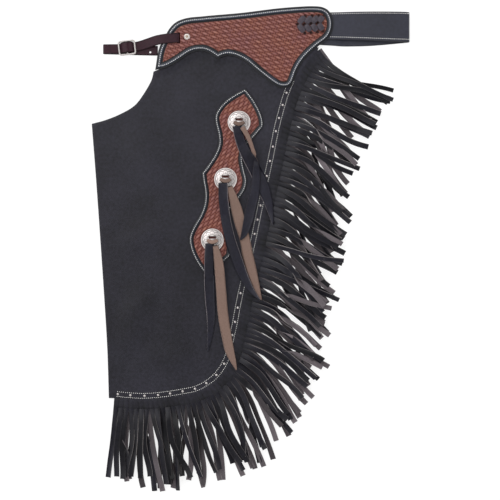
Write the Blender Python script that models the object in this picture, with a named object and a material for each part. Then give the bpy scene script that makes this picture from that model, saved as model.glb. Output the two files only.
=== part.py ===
"""Leather show chaps: a fringed pair folded together and laid flat.

One leg lies face up. The other leg lies under it, face down. A belt leaves the
yoke on the right and folds back on itself, and a front strap with a buckle
leaves it on the left. Tables and lengths here are in millimetres, in the frame
of the finished object: X to the right, Y up the garment, Z up from the table.
"""

import math

import bmesh
import bpy
import numpy as np
from mathutils import Vector
from mathutils.geometry import delaunay_2d_cdt

MM = 0.001

# Leather walls and the gaps between layers
GAP = 0.3
LEG_WALL = 2.0
YOKE_WALL = 2.4
TOOLED_WALL = 1.5
PLATE_WALL = 1.5
STRAND_WALL = 1.5
STRING_WALL = 2.0
STRAP_WALL = 2.2
BELT_WALL = 2.0
LACING_WALL = 1.8

# Heights of the layers, from the table up
UNDER_YOKE_WALL = 2.5
RISE = UNDER_YOKE_WALL + GAP
RISE_RUN = 11.0
TOP_LEG_Z = LEG_WALL + 0.4
TOP_LEG_FACE = TOP_LEG_Z + LEG_WALL
TOP_YOKE_Z = RISE + TOP_LEG_FACE + 0.4
TOP_TOOLED_Z = TOP_YOKE_Z + YOKE_WALL + GAP
YOKE_FACE = TOP_TOOLED_Z + TOOLED_WALL
PLATE_Z = TOP_LEG_FACE + GAP
PLATE_TOOLED_Z = PLATE_Z + PLATE_WALL + GAP
PLATE_FACE = PLATE_TOOLED_Z + PLATE_WALL

# Widths of the borders and of the fringe
YOKE_BORDER = 10.6
PLATE_BORDER = 8.0
SEAM_TO_EDGE = 7.5
SEAM_TO_STRIP = 7.8
SEAM_TO_SLITS = 22.0
STRAND_PITCH = 8.6
STRAND_WIDTH = 8.0
SLIT_WIDTH = 0.6
STRAIGHT_ROOT = 12.0
SECTIONS = 4

# Hardware
CONCHO_CENTRES = {"concho_1": (-18.5, 211.3), "concho_2": (-40.9, 116.5), "concho_3": (-62.9, 15.5)}
CONCHO_SLOT_HALF = (6.3, 2.2)
CONCHO_SLOT_AWAY = 4.2
BUCKLE_CENTRE = (-205.0, 335.4)
BUCKLE_TURN = math.radians(7.0)
BUCKLE_HALF = (13.3, 11.0)
BUCKLE_CORNER = 3.4
BUCKLE_WIRE = 1.5
BUCKLE_BAR = 1.3
BUCKLE_Z = 6.5
RIVET_PLACE = (-105.0, 352.9)
SLOT_X = -118.9
SLOT_Y = 351.0
SLOT_SIZE = (4.6, 17.4)

# The row of studs runs down the middle of this seam, from the yoke to the left end of the hem.
# Columns: x, y
SEAM = (
    (118, 342), (100, 328), (82, 305), (65, 272), (48, 218), (33, 147), (17, 73), (0, -8),
    (-16, -73), (-30, -143), (-43, -190), (-56, -209), (-73, -223), (-91, -232), (-112, -236.5),
    (-176, -244), (-234, -240),
)

# The leg's edge from the left end of the hem, up the inside leg and round the crotch to the
# belt; the last six points lie hidden under the yoke. Columns: x, y, corner
LEG_EDGE = (
    (-235.5, -248, 1), (-238, -168, 0), (-243, -84, 0), (-250, 20, 0), (-257, 119, 0),
    (-264, 209, 1), (-242, 215, 0), (-217, 225, 0), (-191, 241, 0), (-178, 258, 0),
    (-170, 271, 0), (-164, 283, 0), (-161, 296, 1), (-150, 300, 0), (-128, 315, 0),
    (-100, 330, 0), (-84, 338, 1), (-84, 372, 1), (-14, 386, 0), (60, 392, 1), (60, 337, 1),
    (114, 336, 1),
)

# Outer edge of the yoke, clockwise from its left tip. Columns: x, y, corner
YOKE_EDGE = (
    (-158, 298, 1), (-150, 338, 0), (-139, 359, 0), (-131, 371, 0), (-121, 379, 0),
    (-107, 384, 0), (-81, 387, 0), (-14, 393, 0), (52, 401, 0), (78, 403, 0), (105, 404, 0),
    (118, 403, 0), (129, 398, 0), (135.5, 388, 0), (138, 375, 0), (136, 362, 0), (130, 351, 0),
    (115, 339, 0), (100, 326, 0), (86, 310, 0), (77, 293, 0), (73, 281, 0), (69, 273, 0),
    (60, 268.5, 0), (49, 269, 0), (39, 274, 0), (23, 286, 0), (7, 299, 0), (-6, 310, 0),
    (-20, 318, 0), (-36, 322, 0), (-46, 320, 0), (-54, 316, 1), (-62, 322, 0), (-76, 329, 0),
    (-86, 329.5, 0), (-97, 327, 0), (-113, 317, 0), (-129, 307, 0), (-142, 301, 0),
)

# Outer edge of the concho plate, clockwise from its top tip. Columns: x, y, corner
PLATE_EDGE = (
    (-8, 268, 1), (6, 250, 0), (16, 232, 0), (21.5, 217, 0), (22.5, 204, 1), (6, 185, 0),
    (-7, 170, 0), (-12, 152, 0), (-9, 132, 0), (-5, 114, 0), (-7, 102, 0), (-17, 85, 0),
    (-31, 69, 0), (-37, 45, 0), (-35, 22, 0), (-31, 2, 0), (-33, -12, 1), (-47, -24, 0),
    (-64, -34, 0), (-78, -39, 1), (-90, -21, 0), (-99, -1, 0), (-102, 19, 0), (-96, 36, 0),
    (-85, 55, 0), (-78, 72, 0), (-76, 94, 0), (-79, 112, 0), (-81, 127, 1), (-69, 143, 0),
    (-59, 159, 0), (-53, 176, 0), (-54, 192, 0), (-58, 208, 0), (-59, 222, 0), (-54, 233, 0),
    (-42, 247, 0), (-25, 259, 0),
)

# How the strands lie along the seam, for the lower and the upper leg. Columns: seam_mm, lay_deg,
# length
FRINGE_LAY = {
    "under": (
        (0, -50, 122), (110, -58, 130), (200, -61, 138), (300, -57, 144), (400, -53, 149),
        (480, -50, 150), (530, -53, 150), (558, -58, 148), (578, -64, 145), (600, -70, 142),
        (622, -78, 138), (650, -85, 136), (700, -88, 136), (770, -90, 122),
    ),
    "top": (
        (0, -24, 124), (60, -19, 136), (110, -26, 134), (160, -38, 132), (250, -34, 136),
        (400, -33, 134), (480, -34, 132), (530, -40, 130), (558, -48, 127), (578, -56, 125),
        (600, -66, 122), (622, -76, 121), (650, -84, 121), (700, -87, 121), (770, -91, 118),
    ),
}

# Where each leg's first slit is, along the seam: half a pitch apart, so that the slits of one leg
# lie over the strands of the other
FIRST_SLIT = {"under": 3.7, "top": 8.0}
# How far the last slit stays off the end of the hem, at least
LAST_SLIT_OFF = 4.0

# Seeded wander of the strands, in degrees and as a share of the length
WANDER = {"seed": 11, "turn": 8.0, "bend": 11.0, "length": 0.045}

# Face and underside of a concho, from its middle out and from its rim back. Columns: radius, height
CONCHO_FACE = ((0.0, 4.6), (6.0, 4.3), (12.0, 3.3), (16.5, 1.9), (19.05, 1.0))
CONCHO_BACK = ((19.05, 0.0), (16.0, 0.5), (11.5, 1.9), (5.8, 2.9), (0.0, 3.2))

# The rivet, from its middle round to its underside. Columns: radius, height
RIVET = ((0, 2.4), (2.2, 2.1), (4.0, 1.2), (5.0, 0.3), (5.0, 0.0), (0.0, 0.0))

# The tails that hang from the conchos, from the slot to the tip, in the order in which they lie
# on each other. Columns: x, y, width
STRINGS = {
    "string_1a": (
        (-22.3, 205.0, 14.5), (-19.5, 191.9, 15.6), (-14.5, 175.2, 16.6), (-5.7, 156.9, 18.8),
        (8.0, 132.8, 21.0), (23.5, 98.7, 20.6), (30.6, 77.0, 14.6), (34.3, 60.4, 9.0),
        (37.4, 41.6, 2.4),
    ),
    "string_2b": (
        (-33.9, 103.7, 9.0), (-28.6, 87.0, 14.0), (-22.8, 67.1, 18.5), (-16.5, 42.1, 18.5),
        (-8.7, 15.5, 17.5), (-4.2, -9.5, 18.5), (2.2, -34.4, 17.3), (10.2, -61.1, 11.8),
        (18.8, -84.4, 2.4),
    ),
    "string_2a": (
        (-45.3, 110.0, 15.0), (-44.3, 82.0, 15.8), (-41.6, 57.0, 16.0), (-34.4, 20.5, 17.0),
        (-22.8, -16.1, 18.0), (-11.1, -44.4, 15.0), (2.2, -67.7, 9.0), (16.3, -84.4, 2.4),
    ),
    "string_1b": (
        (-13.3, 202.7, 8.5), (-3.8, 186.5, 8.0), (3.8, 166.9, 7.0), (8.5, 148.6, 8.5),
        (10.2, 123.6, 13.5), (7.7, 95.4, 16.0), (1.0, 67.1, 17.0), (-4.8, 42.1, 15.0),
        (-12.0, 22.1, 8.0), (-16.5, 15.5, 2.4),
    ),
    "string_3a": (
        (-67.6, 9.5, 14.0), (-67.6, -21.1, 17.0), (-67.9, -51.1, 17.4), (-66.6, -84.4, 16.6),
        (-65.2, -114.3, 14.0), (-67.2, -144.3, 9.0), (-70.6, -170.1, 2.4),
    ),
    "string_3b": (
        (-57.6, 6.0, 9.0), (-52.7, -19.5, 15.2), (-48.6, -63.4, 16.8), (-44.8, -111.2, 17.6),
        (-39.6, -142.6, 17.0), (-33.6, -170.9, 15.0), (-27.0, -189.2, 8.5), (-22.8, -200.9, 2.4),
    ),
}

# Black lacing over the belt's end. Columns: top hole x, y, point x, y, lower hole x, y
LACING = (
    (90.7, 386.0, 79.2, 373.7, 89.7, 360.4),
    (102.2, 386.0, 90.7, 373.7, 100.2, 361.4),
    (112.7, 386.4, 101.5, 374.7, 110.7, 362.2),
    (121.1, 386.4, 112.7, 375.7, 120.3, 363.2),
)

# Low swells of the face-up leg. Columns: x, y, half length, half width, turn_deg, height
SWELLS = (
    (-175, 150, 85, 38, -58, 2.6), (-180, 20, 58, 38, 20, 2.2),
    (-190, -110, 80, 38, 75, 2.4), (-135, -180, 50, 30, -20, 1.6),
)

# Leather and metal colours, as linear RGB. Columns: colour, roughness, metallic
FINISHES = {
    "black_leather": ((0.022, 0.021, 0.026), 0.55, 0.0),
    "tooled_leather": ((0.235, 0.085, 0.055), 0.5, 0.0),
    "flesh_side": ((0.23, 0.17, 0.15), 0.9, 0.0),
    "oxblood_leather": ((0.075, 0.030, 0.042), 0.45, 0.0),
    "nickel_silver": ((0.62, 0.60, 0.58), 0.3, 1.0),
}


def table(rows):
    """A table of numbers as an array."""
    return np.array(rows, dtype=float)


def spline(points, step):
    """A smooth line through the points: cubic pieces whose slopes are the chords of each
    point's two neighbours, sampled at most step apart."""
    points = table(points)
    chords = np.linalg.norm(np.diff(points[:, :2], axis=0), axis=1)
    along = np.concatenate([[0.0], np.cumsum(chords)])
    slopes = np.gradient(points, along, axis=0)
    pieces = []
    for i, chord in enumerate(chords):
        count = max(1, math.ceil(chord / step))
        t = np.linspace(0.0, 1.0, count + 1)[:-1, None]
        p, q = points[i], points[i + 1]
        m, n = slopes[i] * chord, slopes[i + 1] * chord
        pieces.append(
            (2 * t**3 - 3 * t**2 + 1) * p + (t**3 - 2 * t**2 + t) * m
            + (3 * t**2 - 2 * t**3) * q + (t**3 - t**2) * n
        )
    return np.vstack(pieces + [points[-1:]])


def closed_edge(rows, step):
    """A closed outline, smooth between its marked corners; the first row is a corner."""
    rows = table(rows)
    corners = list(np.flatnonzero(rows[:, 2] > 0.5)) + [len(rows)]
    ring = np.vstack([rows[:, :2], rows[:1, :2]])
    runs = [spline(ring[a:b + 1], step)[:-1] for a, b in zip(corners, corners[1:])]
    return np.vstack(runs)


def left_normals(line, closed=False):
    """Unit vectors to the left of the line at each of its points."""
    if closed:
        ahead = np.roll(line, -1, axis=0) - np.roll(line, 1, axis=0)
    else:
        ahead = np.gradient(line, axis=0)
    ahead /= np.linalg.norm(ahead, axis=1)[:, None]
    return np.column_stack([-ahead[:, 1], ahead[:, 0]])


def distance_to(points, ring):
    """Distance from each point to the nearest stretch of a closed outline."""
    a = ring
    ab = np.roll(ring, -1, axis=0) - a
    best = np.full(len(points), np.inf)
    for start, run in zip(a, ab):
        share = np.clip(((points - start) @ run) / (run @ run), 0.0, 1.0)
        gaps = points - start - share[:, None] * run
        best = np.minimum(best, np.einsum("ij,ij->i", gaps, gaps))
    return np.sqrt(best)


def inside(points, ring):
    """True for each point that the closed outline surrounds, by counting crossings."""
    odd = np.zeros(len(points), dtype=bool)
    x, y = points[:, 0], points[:, 1]
    for (ax, ay), (bx, by) in zip(ring, np.roll(ring, -1, axis=0)):
        if ay == by:
            continue
        crosses = (ay > y) != (by > y)
        odd ^= crosses & (x < ax + (y - ay) * (bx - ax) / (by - ay))
    return odd


def offset_edge(ring, distance, step):
    """The closed outline moved inwards by distance, or outwards where it is negative."""
    fine = closed_resample(ring, 1.0)
    normals = left_normals(fine, closed=True)
    area = 0.5 * np.sum(fine[:, 0] * np.roll(fine[:, 1], -1) - np.roll(fine[:, 0], -1) * fine[:, 1])
    moved = fine + normals * distance * math.copysign(1.0, area)
    keep = distance_to(moved, fine) > abs(distance) * 0.97
    return closed_resample(moved[keep], step)


def closed_resample(ring, step):
    """Points of a closed outline at even spacing along it, near step."""
    loop = np.vstack([ring, ring[:1]])
    along = np.concatenate([[0.0], np.cumsum(np.linalg.norm(np.diff(loop, axis=0), axis=1))])
    count = max(3, round(along[-1] / step))
    where = np.linspace(0.0, along[-1], count, endpoint=False)
    return np.column_stack([np.interp(where, along, loop[:, k]) for k in (0, 1)])


YOKE_OUTLINE = closed_edge(YOKE_EDGE, 9.0)
UNDER_YOKE_OUTLINE = offset_edge(YOKE_OUTLINE, 1.5, 11.0)
YOKE_RING = closed_resample(UNDER_YOKE_OUTLINE, 3.0)


def ground(points):
    """Height of the layers' bed: it rises over the yoke of the leg below."""
    away = distance_to(points, YOKE_RING)
    away[inside(points, YOKE_RING)] *= -1.0
    return RISE * np.clip((RISE_RUN + 1.0 - away) / RISE_RUN, 0.0, 1.0)


def swell(points):
    """Height of the face-up leg's soft swells: one cosine hump for each row."""
    height = np.zeros(len(points))
    for x, y, half_length, half_width, turn, top in SWELLS:
        c, s = math.cos(math.radians(turn)), math.sin(math.radians(turn))
        u = ((points[:, 0] - x) * c + (points[:, 1] - y) * s) / half_length
        v = (-(points[:, 0] - x) * s + (points[:, 1] - y) * c) / half_width
        reach = np.clip(np.hypot(u, v), 0.0, 1.0)
        height += top * 0.5 * (1.0 + np.cos(math.pi * reach))
    return height


def finish(name):
    """A plain leather or metal finish."""
    if name in bpy.data.materials:
        return bpy.data.materials[name]
    colour, roughness, metallic = FINISHES[name]
    material = bpy.data.materials.new(name)
    material.use_nodes = True
    shader = material.node_tree.nodes["Principled BSDF"]
    shader.inputs["Base Color"].default_value = (*colour, 1.0)
    shader.inputs["Roughness"].default_value = roughness
    shader.inputs["Metallic"].default_value = metallic
    return material


def solid(name, points, faces, surface):
    """One named object from millimetre points and faces, with its faces turned outwards."""
    mesh = bpy.data.meshes.new(name)
    mesh.from_pydata([tuple(p) for p in np.asarray(points) * MM], [], faces)
    made = bmesh.new()
    made.from_mesh(mesh)
    bmesh.ops.recalc_face_normals(made, faces=made.faces)
    made.to_mesh(mesh)
    made.free()
    mesh.materials.append(finish(surface))
    piece = bpy.data.objects.new(name, mesh)
    bpy.context.scene.collection.objects.link(piece)
    return piece


def panel(name, outline, bottom, wall, surface, spacing=0.0, creases=(), hole=None):
    """A flat cut piece: its outline filled with triangles, on a bed given by bottom(points),
    with the same points moved up by the wall for its face."""
    loops = [outline] + ([hole] if hole is not None else [])
    points = []
    edges = []
    for loop in loops + list(creases):
        first = len(points)
        points += [Vector(p) for p in loop]
        edges += [(first + i, first + (i + 1) % len(loop)) for i in range(len(loop))]
    if spacing:
        lines = [closed_resample(loop, 3.0) for loop in loops + list(creases)]
        points += grid_inside(outline, spacing, lines)
    cut = delaunay_2d_cdt(points, edges, [], 0, 1e-4)
    flat = np.array([tuple(p) for p in cut[0]])
    triangles = np.array([tuple(f) for f in cut[2]])
    centres = flat[triangles].mean(axis=1)
    keep = inside(centres, outline)
    if hole is not None:
        keep &= ~inside(centres, hole)
    triangles = triangles[keep]
    used, inverse = np.unique(triangles, return_inverse=True)
    flat = flat[used]
    triangles = inverse.reshape(-1, 3)
    low = bottom(flat)
    count = len(flat)
    shell = np.vstack([np.column_stack([flat, low]), np.column_stack([flat, low + wall])])
    faces = [tuple(reversed(t)) for t in triangles.tolist()]
    faces += [tuple(i + count for i in t) for t in triangles.tolist()]
    sides = {(t[i], t[(i + 1) % 3]) for t in triangles.tolist() for i in range(3)}
    faces += [(a, b, b + count, a + count) for a, b in sides if (b, a) not in sides]
    return solid(name, shell, faces, surface)


def grid_inside(outline, spacing, lines):
    """Staggered points inside an outline, clear of the given closed lines."""
    low, high = outline.min(axis=0), outline.max(axis=0)
    rows = np.arange(low[1] + spacing / 2, high[1], spacing * 0.87)
    places = []
    for k, y in enumerate(rows):
        xs = np.arange(low[0] + spacing * (0.5 if k % 2 else 0.25), high[0], spacing)
        places.append(np.column_stack([xs, np.full(len(xs), y)]))
    places = np.vstack(places)
    keep = inside(places, outline)
    for line in lines:
        keep &= distance_to(places, line) > spacing * 0.42
    return [Vector(p) for p in places[keep]]


def level(height):
    """A bed at one height."""
    return lambda points: np.full(len(points), height)


def ribbon(name, route, widths, wall, surface, side=(0.0, 1.0, 0.0)):
    """A strap carried along a route in space: at each point a flat rectangle, mitred, whose
    width stays level and square to the route, on the same side through a fold."""
    route = table(route)
    ahead = np.diff(route, axis=0)
    ahead /= np.linalg.norm(ahead, axis=1)[:, None]
    across = np.array(side)
    points = []
    for i, place in enumerate(route):
        before = ahead[max(i - 1, 0)]
        after = ahead[min(i, len(ahead) - 1)]
        along = before + after
        along /= np.linalg.norm(along)
        flat = np.array([-along[1], along[0], 0.0])
        if np.linalg.norm(flat) > 0.3:
            across = flat * math.copysign(1.0, flat @ across) / np.linalg.norm(flat)
        up = np.cross(along, across)
        mitre = 1.0 / max(0.5, before @ along)
        for s, u in ((1, 1), (-1, 1), (-1, -1), (1, -1)):
            points.append(place + across * s * widths[i] / 2 + up * u * mitre * wall / 2)
    return solid(name, points, tube_faces(len(route), 4), surface)


def tube_faces(rings, sides):
    """Faces of a tube of equal rings, closed at both ends."""
    faces = [tuple(range(sides)), tuple((rings - 1) * sides + k for k in reversed(range(sides)))]
    for r in range(rings - 1):
        for k in range(sides):
            n = (k + 1) % sides
            faces.append((r * sides + k, (r + 1) * sides + k, (r + 1) * sides + n, r * sides + n))
    return faces


def arc(centre, radius, start, end, count):
    """Points (x, z) of an arc, given in degrees anticlockwise in the XZ plane."""
    turns = np.radians(np.linspace(start, end, count))
    return np.column_stack([centre[0] + radius * np.cos(turns), centre[1] + radius * np.sin(turns)])


def turned(name, centre, base, profile, sides, surface):
    """A round piece: a profile of (radius, height) rows, from its top on the axis round to its
    underside on the axis, spun about a vertical line."""
    turns = np.linspace(0.0, 2 * math.pi, sides, endpoint=False)
    points = [(centre[0], centre[1], base + profile[0][1])]
    for radius, height in profile[1:-1]:
        for t in turns:
            x = centre[0] + radius * math.cos(t)
            y = centre[1] + radius * math.sin(t)
            points.append((x, y, base + height))
    points.append((centre[0], centre[1], base + profile[-1][1]))
    last = len(points) - 1
    rings = len(profile) - 2
    faces = []
    for k in range(sides):
        n = (k + 1) % sides
        faces.append((0, 1 + k, 1 + n))
        faces.append((last, last - sides + n, last - sides + k))
        for r in range(rings - 1):
            a, b = 1 + r * sides, 1 + (r + 1) * sides
            faces.append((a + k, b + k, b + n, a + n))
    piece = solid(name, points, faces, surface)
    piece.data.shade_smooth()
    piece.data.set_sharp_from_angle(angle=math.radians(35))
    return piece


class Heap:
    """The tops of everything laid so far, on a fine square grid over the table."""

    def __init__(self, low, high, cell):
        self.low = np.array(low, dtype=float)
        self.cell = cell
        size = np.ceil((np.array(high) - self.low) / cell).astype(int) + 1
        self.top = np.zeros(tuple(size))

    def block(self, low, high):
        """The grid's index ranges and cell centres over a box."""
        a = np.clip(((low - self.low) / self.cell).astype(int), 0, np.array(self.top.shape) - 1)
        b = np.clip(((high - self.low) / self.cell).astype(int) + 2, 1, self.top.shape)
        xs = self.low[0] + (np.arange(a[0], b[0]) + 0.5) * self.cell
        ys = self.low[1] + (np.arange(a[1], b[1]) + 0.5) * self.cell
        return (slice(a[0], b[0]), slice(a[1], b[1])), np.meshgrid(xs, ys, indexing="ij")

    def add_stretch(self, a, b, half, top_a, top_b):
        """Raise the cells under a straight flat stretch from a to b."""
        reach = half + 0.8 * self.cell
        where, (x, y) = self.block(np.minimum(a, b) - reach, np.maximum(a, b) + reach)
        run = b - a
        length = max(np.linalg.norm(run), 1e-6)
        along = ((x - a[0]) * run[0] + (y - a[1]) * run[1]) / length
        aside = np.abs((x - a[0]) * run[1] - (y - a[1]) * run[0]) / length
        on = (along > -1.0) & (along < length + 1.0) & (aside < reach)
        share = np.clip(along / length, 0.0, 1.0)
        top = np.where(on, top_a + (top_b - top_a) * share, 0.0)
        self.top[where] = np.maximum(self.top[where], top)

    def add_panel(self, outline, face):
        """Raise the cells inside an outline to the height that face(points) gives."""
        where, (x, y) = self.block(outline.min(axis=0), outline.max(axis=0))
        spots = np.column_stack([x.ravel(), y.ravel()])
        on = inside(spots, outline) | (distance_to(spots, outline) < self.cell)
        top = np.zeros(len(spots))
        top[on] = face(spots[on])
        self.top[where] = np.maximum(self.top[where], top.reshape(x.shape))

    def under(self, a, b, half_a, half_b, skip):
        """Shares along a stretch, and the highest top under its width at each share."""
        length = np.linalg.norm(b - a)
        share = np.linspace(0.0, 1.0, max(3, math.ceil(length / 1.5) + 1))
        square = np.array([a[1] - b[1], b[0] - a[0]]) / length
        half = (half_a + (half_b - half_a) * share + 0.3)[:, None]
        cross = np.linspace(-1.0, 1.0, max(5, math.ceil(4.0 * max(half_a, half_b)) + 1))[None, :]
        x = (a[0] + (b[0] - a[0]) * share)[:, None] + square[0] * half * cross
        y = (a[1] + (b[1] - a[1]) * share)[:, None] + square[1] * half * cross
        i = np.clip(((x - self.low[0]) / self.cell).astype(int), 0, self.top.shape[0] - 1)
        j = np.clip(((y - self.low[1]) / self.cell).astype(int), 0, self.top.shape[1] - 1)
        tops = self.top[i, j].max(axis=1)
        return share[share * length >= skip], tops[share * length >= skip]

    def lay(self, nodes, halves, first=None, skip=0.0, clear=GAP):
        """Heights at which a strip through the nodes lies down on the heap without touching
        it: it starts too high, and then each node sinks as far as the heap lets it."""
        below = []
        for k in range(len(nodes) - 1):
            share, tops = self.under(nodes[k], nodes[k + 1], halves[k], halves[k + 1],
                                     skip if k == 0 else 0.0)
            below.append((share, tops + clear))
        heights = np.full(len(nodes), max(tops.max() for _, tops in below))
        if first is not None:
            heights[1] = max(heights[1], steepest(below[0], first))
            heights[0] = first
        for _ in range(6):
            for k in range(0 if first is None else 1, len(nodes)):
                lowest = clear
                if k > 0:
                    share, need = below[k - 1]
                    on = share > 1e-6
                    rest = (need[on] - (1 - share[on]) * heights[k - 1]) / share[on]
                    lowest = max(lowest, rest.max())
                if k < len(nodes) - 1:
                    share, need = below[k]
                    on = share < 1 - 1e-6
                    rest = (need[on] - share[on] * heights[k + 1]) / (1 - share[on])
                    lowest = max(lowest, rest.max())
                heights[k] = min(heights[k], lowest)
        return heights


def steepest(stretch, first):
    """The end height that lifts a stretch, starting at first, clear of what is under it."""
    share, need = stretch
    return ((need - (1 - share) * first) / np.maximum(share, 0.05)).max()


def seam_line():
    """The studded seam as fine points, with the outward direction at each, evened out."""
    line = spline(SEAM, 2.0)
    steps = np.concatenate([[0.0], np.cumsum(np.linalg.norm(np.diff(line, axis=0), axis=1))])
    even = np.arange(0.0, steps[-1], 2.0)
    line = np.column_stack([np.interp(even, steps, line[:, k]) for k in (0, 1)])
    out = left_normals(line)
    window = np.ones(15) / 15
    padded = np.vstack([np.repeat(out[:1], 7, axis=0), out, np.repeat(out[-1:], 7, axis=0)])
    out = np.column_stack([np.convolve(padded[:, k], window, mode="valid") for k in (0, 1)])
    out /= np.linalg.norm(out, axis=1)[:, None]
    return even, line, out


def leg_outline():
    """The whole leg: its hand-placed edge, then the seam moved outwards down to the hem."""
    rows = table(LEG_EDGE)
    along, line, out = seam_line()
    edge = line + out * SEAM_TO_EDGE
    outer = edge[(along > 12.0) & (along < along[-1] - 4.0)][::6]
    corners = list(np.flatnonzero(rows[:, 2] > 0.5))
    runs = [spline(rows[a:b + 1, :2], 16.0)[:-1] for a, b in zip(corners, corners[1:])]
    return np.vstack(runs + [rows[-1:, :2], outer])


def fringe_stations(leg):
    """Slit places along the fringe: seam length, inner edge point, slit line point and outward
    direction, spaced evenly along the slit line."""
    along, line, out = seam_line()
    slits = line + out * SEAM_TO_SLITS
    steps = np.concatenate([[0.0], np.cumsum(np.linalg.norm(np.diff(slits, axis=0), axis=1))])
    start = np.interp(FIRST_SLIT[leg], along, steps)
    count = int((steps[-1] - LAST_SLIT_OFF - start) / STRAND_PITCH)
    where = start + STRAND_PITCH * np.arange(count + 1)
    seam_mm = np.interp(where, steps, along)
    read = [np.interp(seam_mm, along, column) for column in (*line.T, *out.T)]
    centre = np.column_stack(read[:2])
    way = np.column_stack(read[2:])
    return seam_mm, centre + way * SEAM_TO_STRIP, centre + way * SEAM_TO_SLITS, way


def strand_paths(leg, seed):
    """Plan routes of the strands: each leaves square to the slit line and then turns towards
    the lay of the fringe at its place, with a seeded wander."""
    seam_mm, _, slits, way = fringe_stations(leg)
    lay = table(FRINGE_LAY[leg])
    random = np.random.default_rng(seed)
    routes = []
    for k in range(len(slits) - 1):
        here = (seam_mm[k] + seam_mm[k + 1]) / 2
        turn, bend, longer = np.clip(random.normal(0.0, 1.0, 3), -1.6, 1.6)
        end = math.radians(np.interp(here, lay[:, 0], lay[:, 1]) + WANDER["turn"] * turn)
        square = way[k] + way[k + 1]
        start = math.atan2(square[1], square[0])
        start += 0.35 * (end - start)
        length = np.interp(here, lay[:, 0], lay[:, 2]) * (1 + WANDER["length"] * longer)
        fine = np.linspace(0.0, length, 66)
        ease = np.clip((fine - 5.0) / 45.0, 0.0, 1.0)
        ease = ease**2 * (3 - 2 * ease)
        angle = start + (end - start) * ease
        angle += math.radians(WANDER["bend"]) * bend * (fine / length)**2
        step = np.diff(fine)[:, None]
        moves = np.column_stack([np.cos(angle[:-1]), np.sin(angle[:-1])]) * step
        line = np.vstack([[0.0, 0.0], np.cumsum(moves, axis=0)]) + (slits[k] + slits[k + 1]) / 2
        nodes = np.array([0.0, STRAIGHT_ROOT, 0.3 * length, 0.52 * length, 0.76 * length, length])
        routes.append(np.column_stack([np.interp(nodes, fine, line[:, i]) for i in (0, 1)]))
    return routes


def strand_halves(routes):
    """Half widths of the strands: the cut width, less where neighbours crowd at the root."""
    roots = np.array([route[1] for route in routes])
    apart = np.linalg.norm(np.diff(roots, axis=0), axis=1)
    near = np.minimum(np.append(apart, np.inf), np.insert(apart, 0, np.inf))
    return np.minimum(STRAND_WIDTH, near - SLIT_WIDTH) / 2


def lay_fringe(heap, leg, seed, strip_z):
    """Lay one leg's strands on the heap one by one, in a seeded order, and give their plan
    routes, half widths and heights."""
    routes = strand_paths(leg, seed)
    halves = strand_halves(routes)
    order = np.random.default_rng(seed + 1).permutation(len(routes))
    heights = [None] * len(routes)
    for k in order:
        first = float(ground(routes[k][:1])[0]) + strip_z
        wide = np.full(len(routes[k]), halves[k])
        heights[k] = heap.lay(routes[k], wide, first, skip=4.0)
        for j in range(1, len(routes[k]) - 1):
            heap.add_stretch(routes[k][j], routes[k][j + 1], halves[k],
                             heights[k][j] + STRAND_WALL, heights[k][j + 1] + STRAND_WALL)
    for k, route in enumerate(routes):
        heap.add_stretch(route[0], route[1], STRAND_PITCH / 2, heights[k][0] + STRAND_WALL,
                         heights[k][1] + STRAND_WALL)
    return routes, halves, heights


def cross_lines(route):
    """Unit vectors square to a plan route at each of its points, to its left."""
    ahead = np.diff(route, axis=0)
    ahead /= np.linalg.norm(ahead, axis=1)[:, None]
    mean = np.vstack([ahead[:1], ahead[:-1] + ahead[1:], ahead[-1:]])
    mean /= np.linalg.norm(mean, axis=1)[:, None]
    return np.column_stack([-mean[:, 1], mean[:, 0]])


def fringe_section(name, leg, first, last, strip_z, laid, surface):
    """One stretch of fringe: a narrow strip, and its strands drawn out of the strip's outer
    wall, so that each slit is a notch that starts at a shared upright edge."""
    _, inner, slits, _ = fringe_stations(leg)
    routes, halves, heights = laid
    inner, slits = inner[first:last + 1].copy(), slits[first:last + 1].copy()
    for line in (inner, slits):
        line[0] += (line[1] - line[0]) * 0.02
        line[-1] += (line[-2] - line[-1]) * 0.02
    rows = len(slits)
    bed = np.concatenate([ground(inner), ground(slits)]) + strip_z
    plan = np.vstack([inner, slits])
    points = np.vstack([np.column_stack([plan, bed]), np.column_stack([plan, bed + STRAND_WALL])])
    points = points.tolist()
    top = 2 * rows
    faces = [(0, rows, rows + top, top), (rows - 1, rows - 1 + top, 2 * rows - 1 + top, 2 * rows - 1)]
    for k in range(rows - 1):
        faces.append((k, k + 1, rows + k + 1, rows + k))
        faces.append((top + k, top + rows + k, top + rows + k + 1, top + k + 1))
        faces.append((k, top + k, top + k + 1, k + 1))
        ring = (rows + k, rows + k + 1, top + rows + k + 1, top + rows + k)
        route, z, half = routes[first + k], heights[first + k], halves[first + k]
        aside = cross_lines(route)
        flip = 1.0 if aside[0] @ (slits[k] - slits[k + 1]) > 0 else -1.0
        for j in range(1, len(route)):
            start = len(points)
            a = route[j] + aside[j] * half * flip
            b = route[j] - aside[j] * half * flip
            points += [(*a, z[j]), (*b, z[j]), (*b, z[j] + STRAND_WALL), (*a, z[j] + STRAND_WALL)]
            new = (start, start + 1, start + 2, start + 3)
            faces += [(ring[i], ring[(i + 1) % 4], new[(i + 1) % 4], new[i]) for i in range(4)]
            ring = new
        faces.append(ring)
    return solid(name, points, faces, surface)


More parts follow.
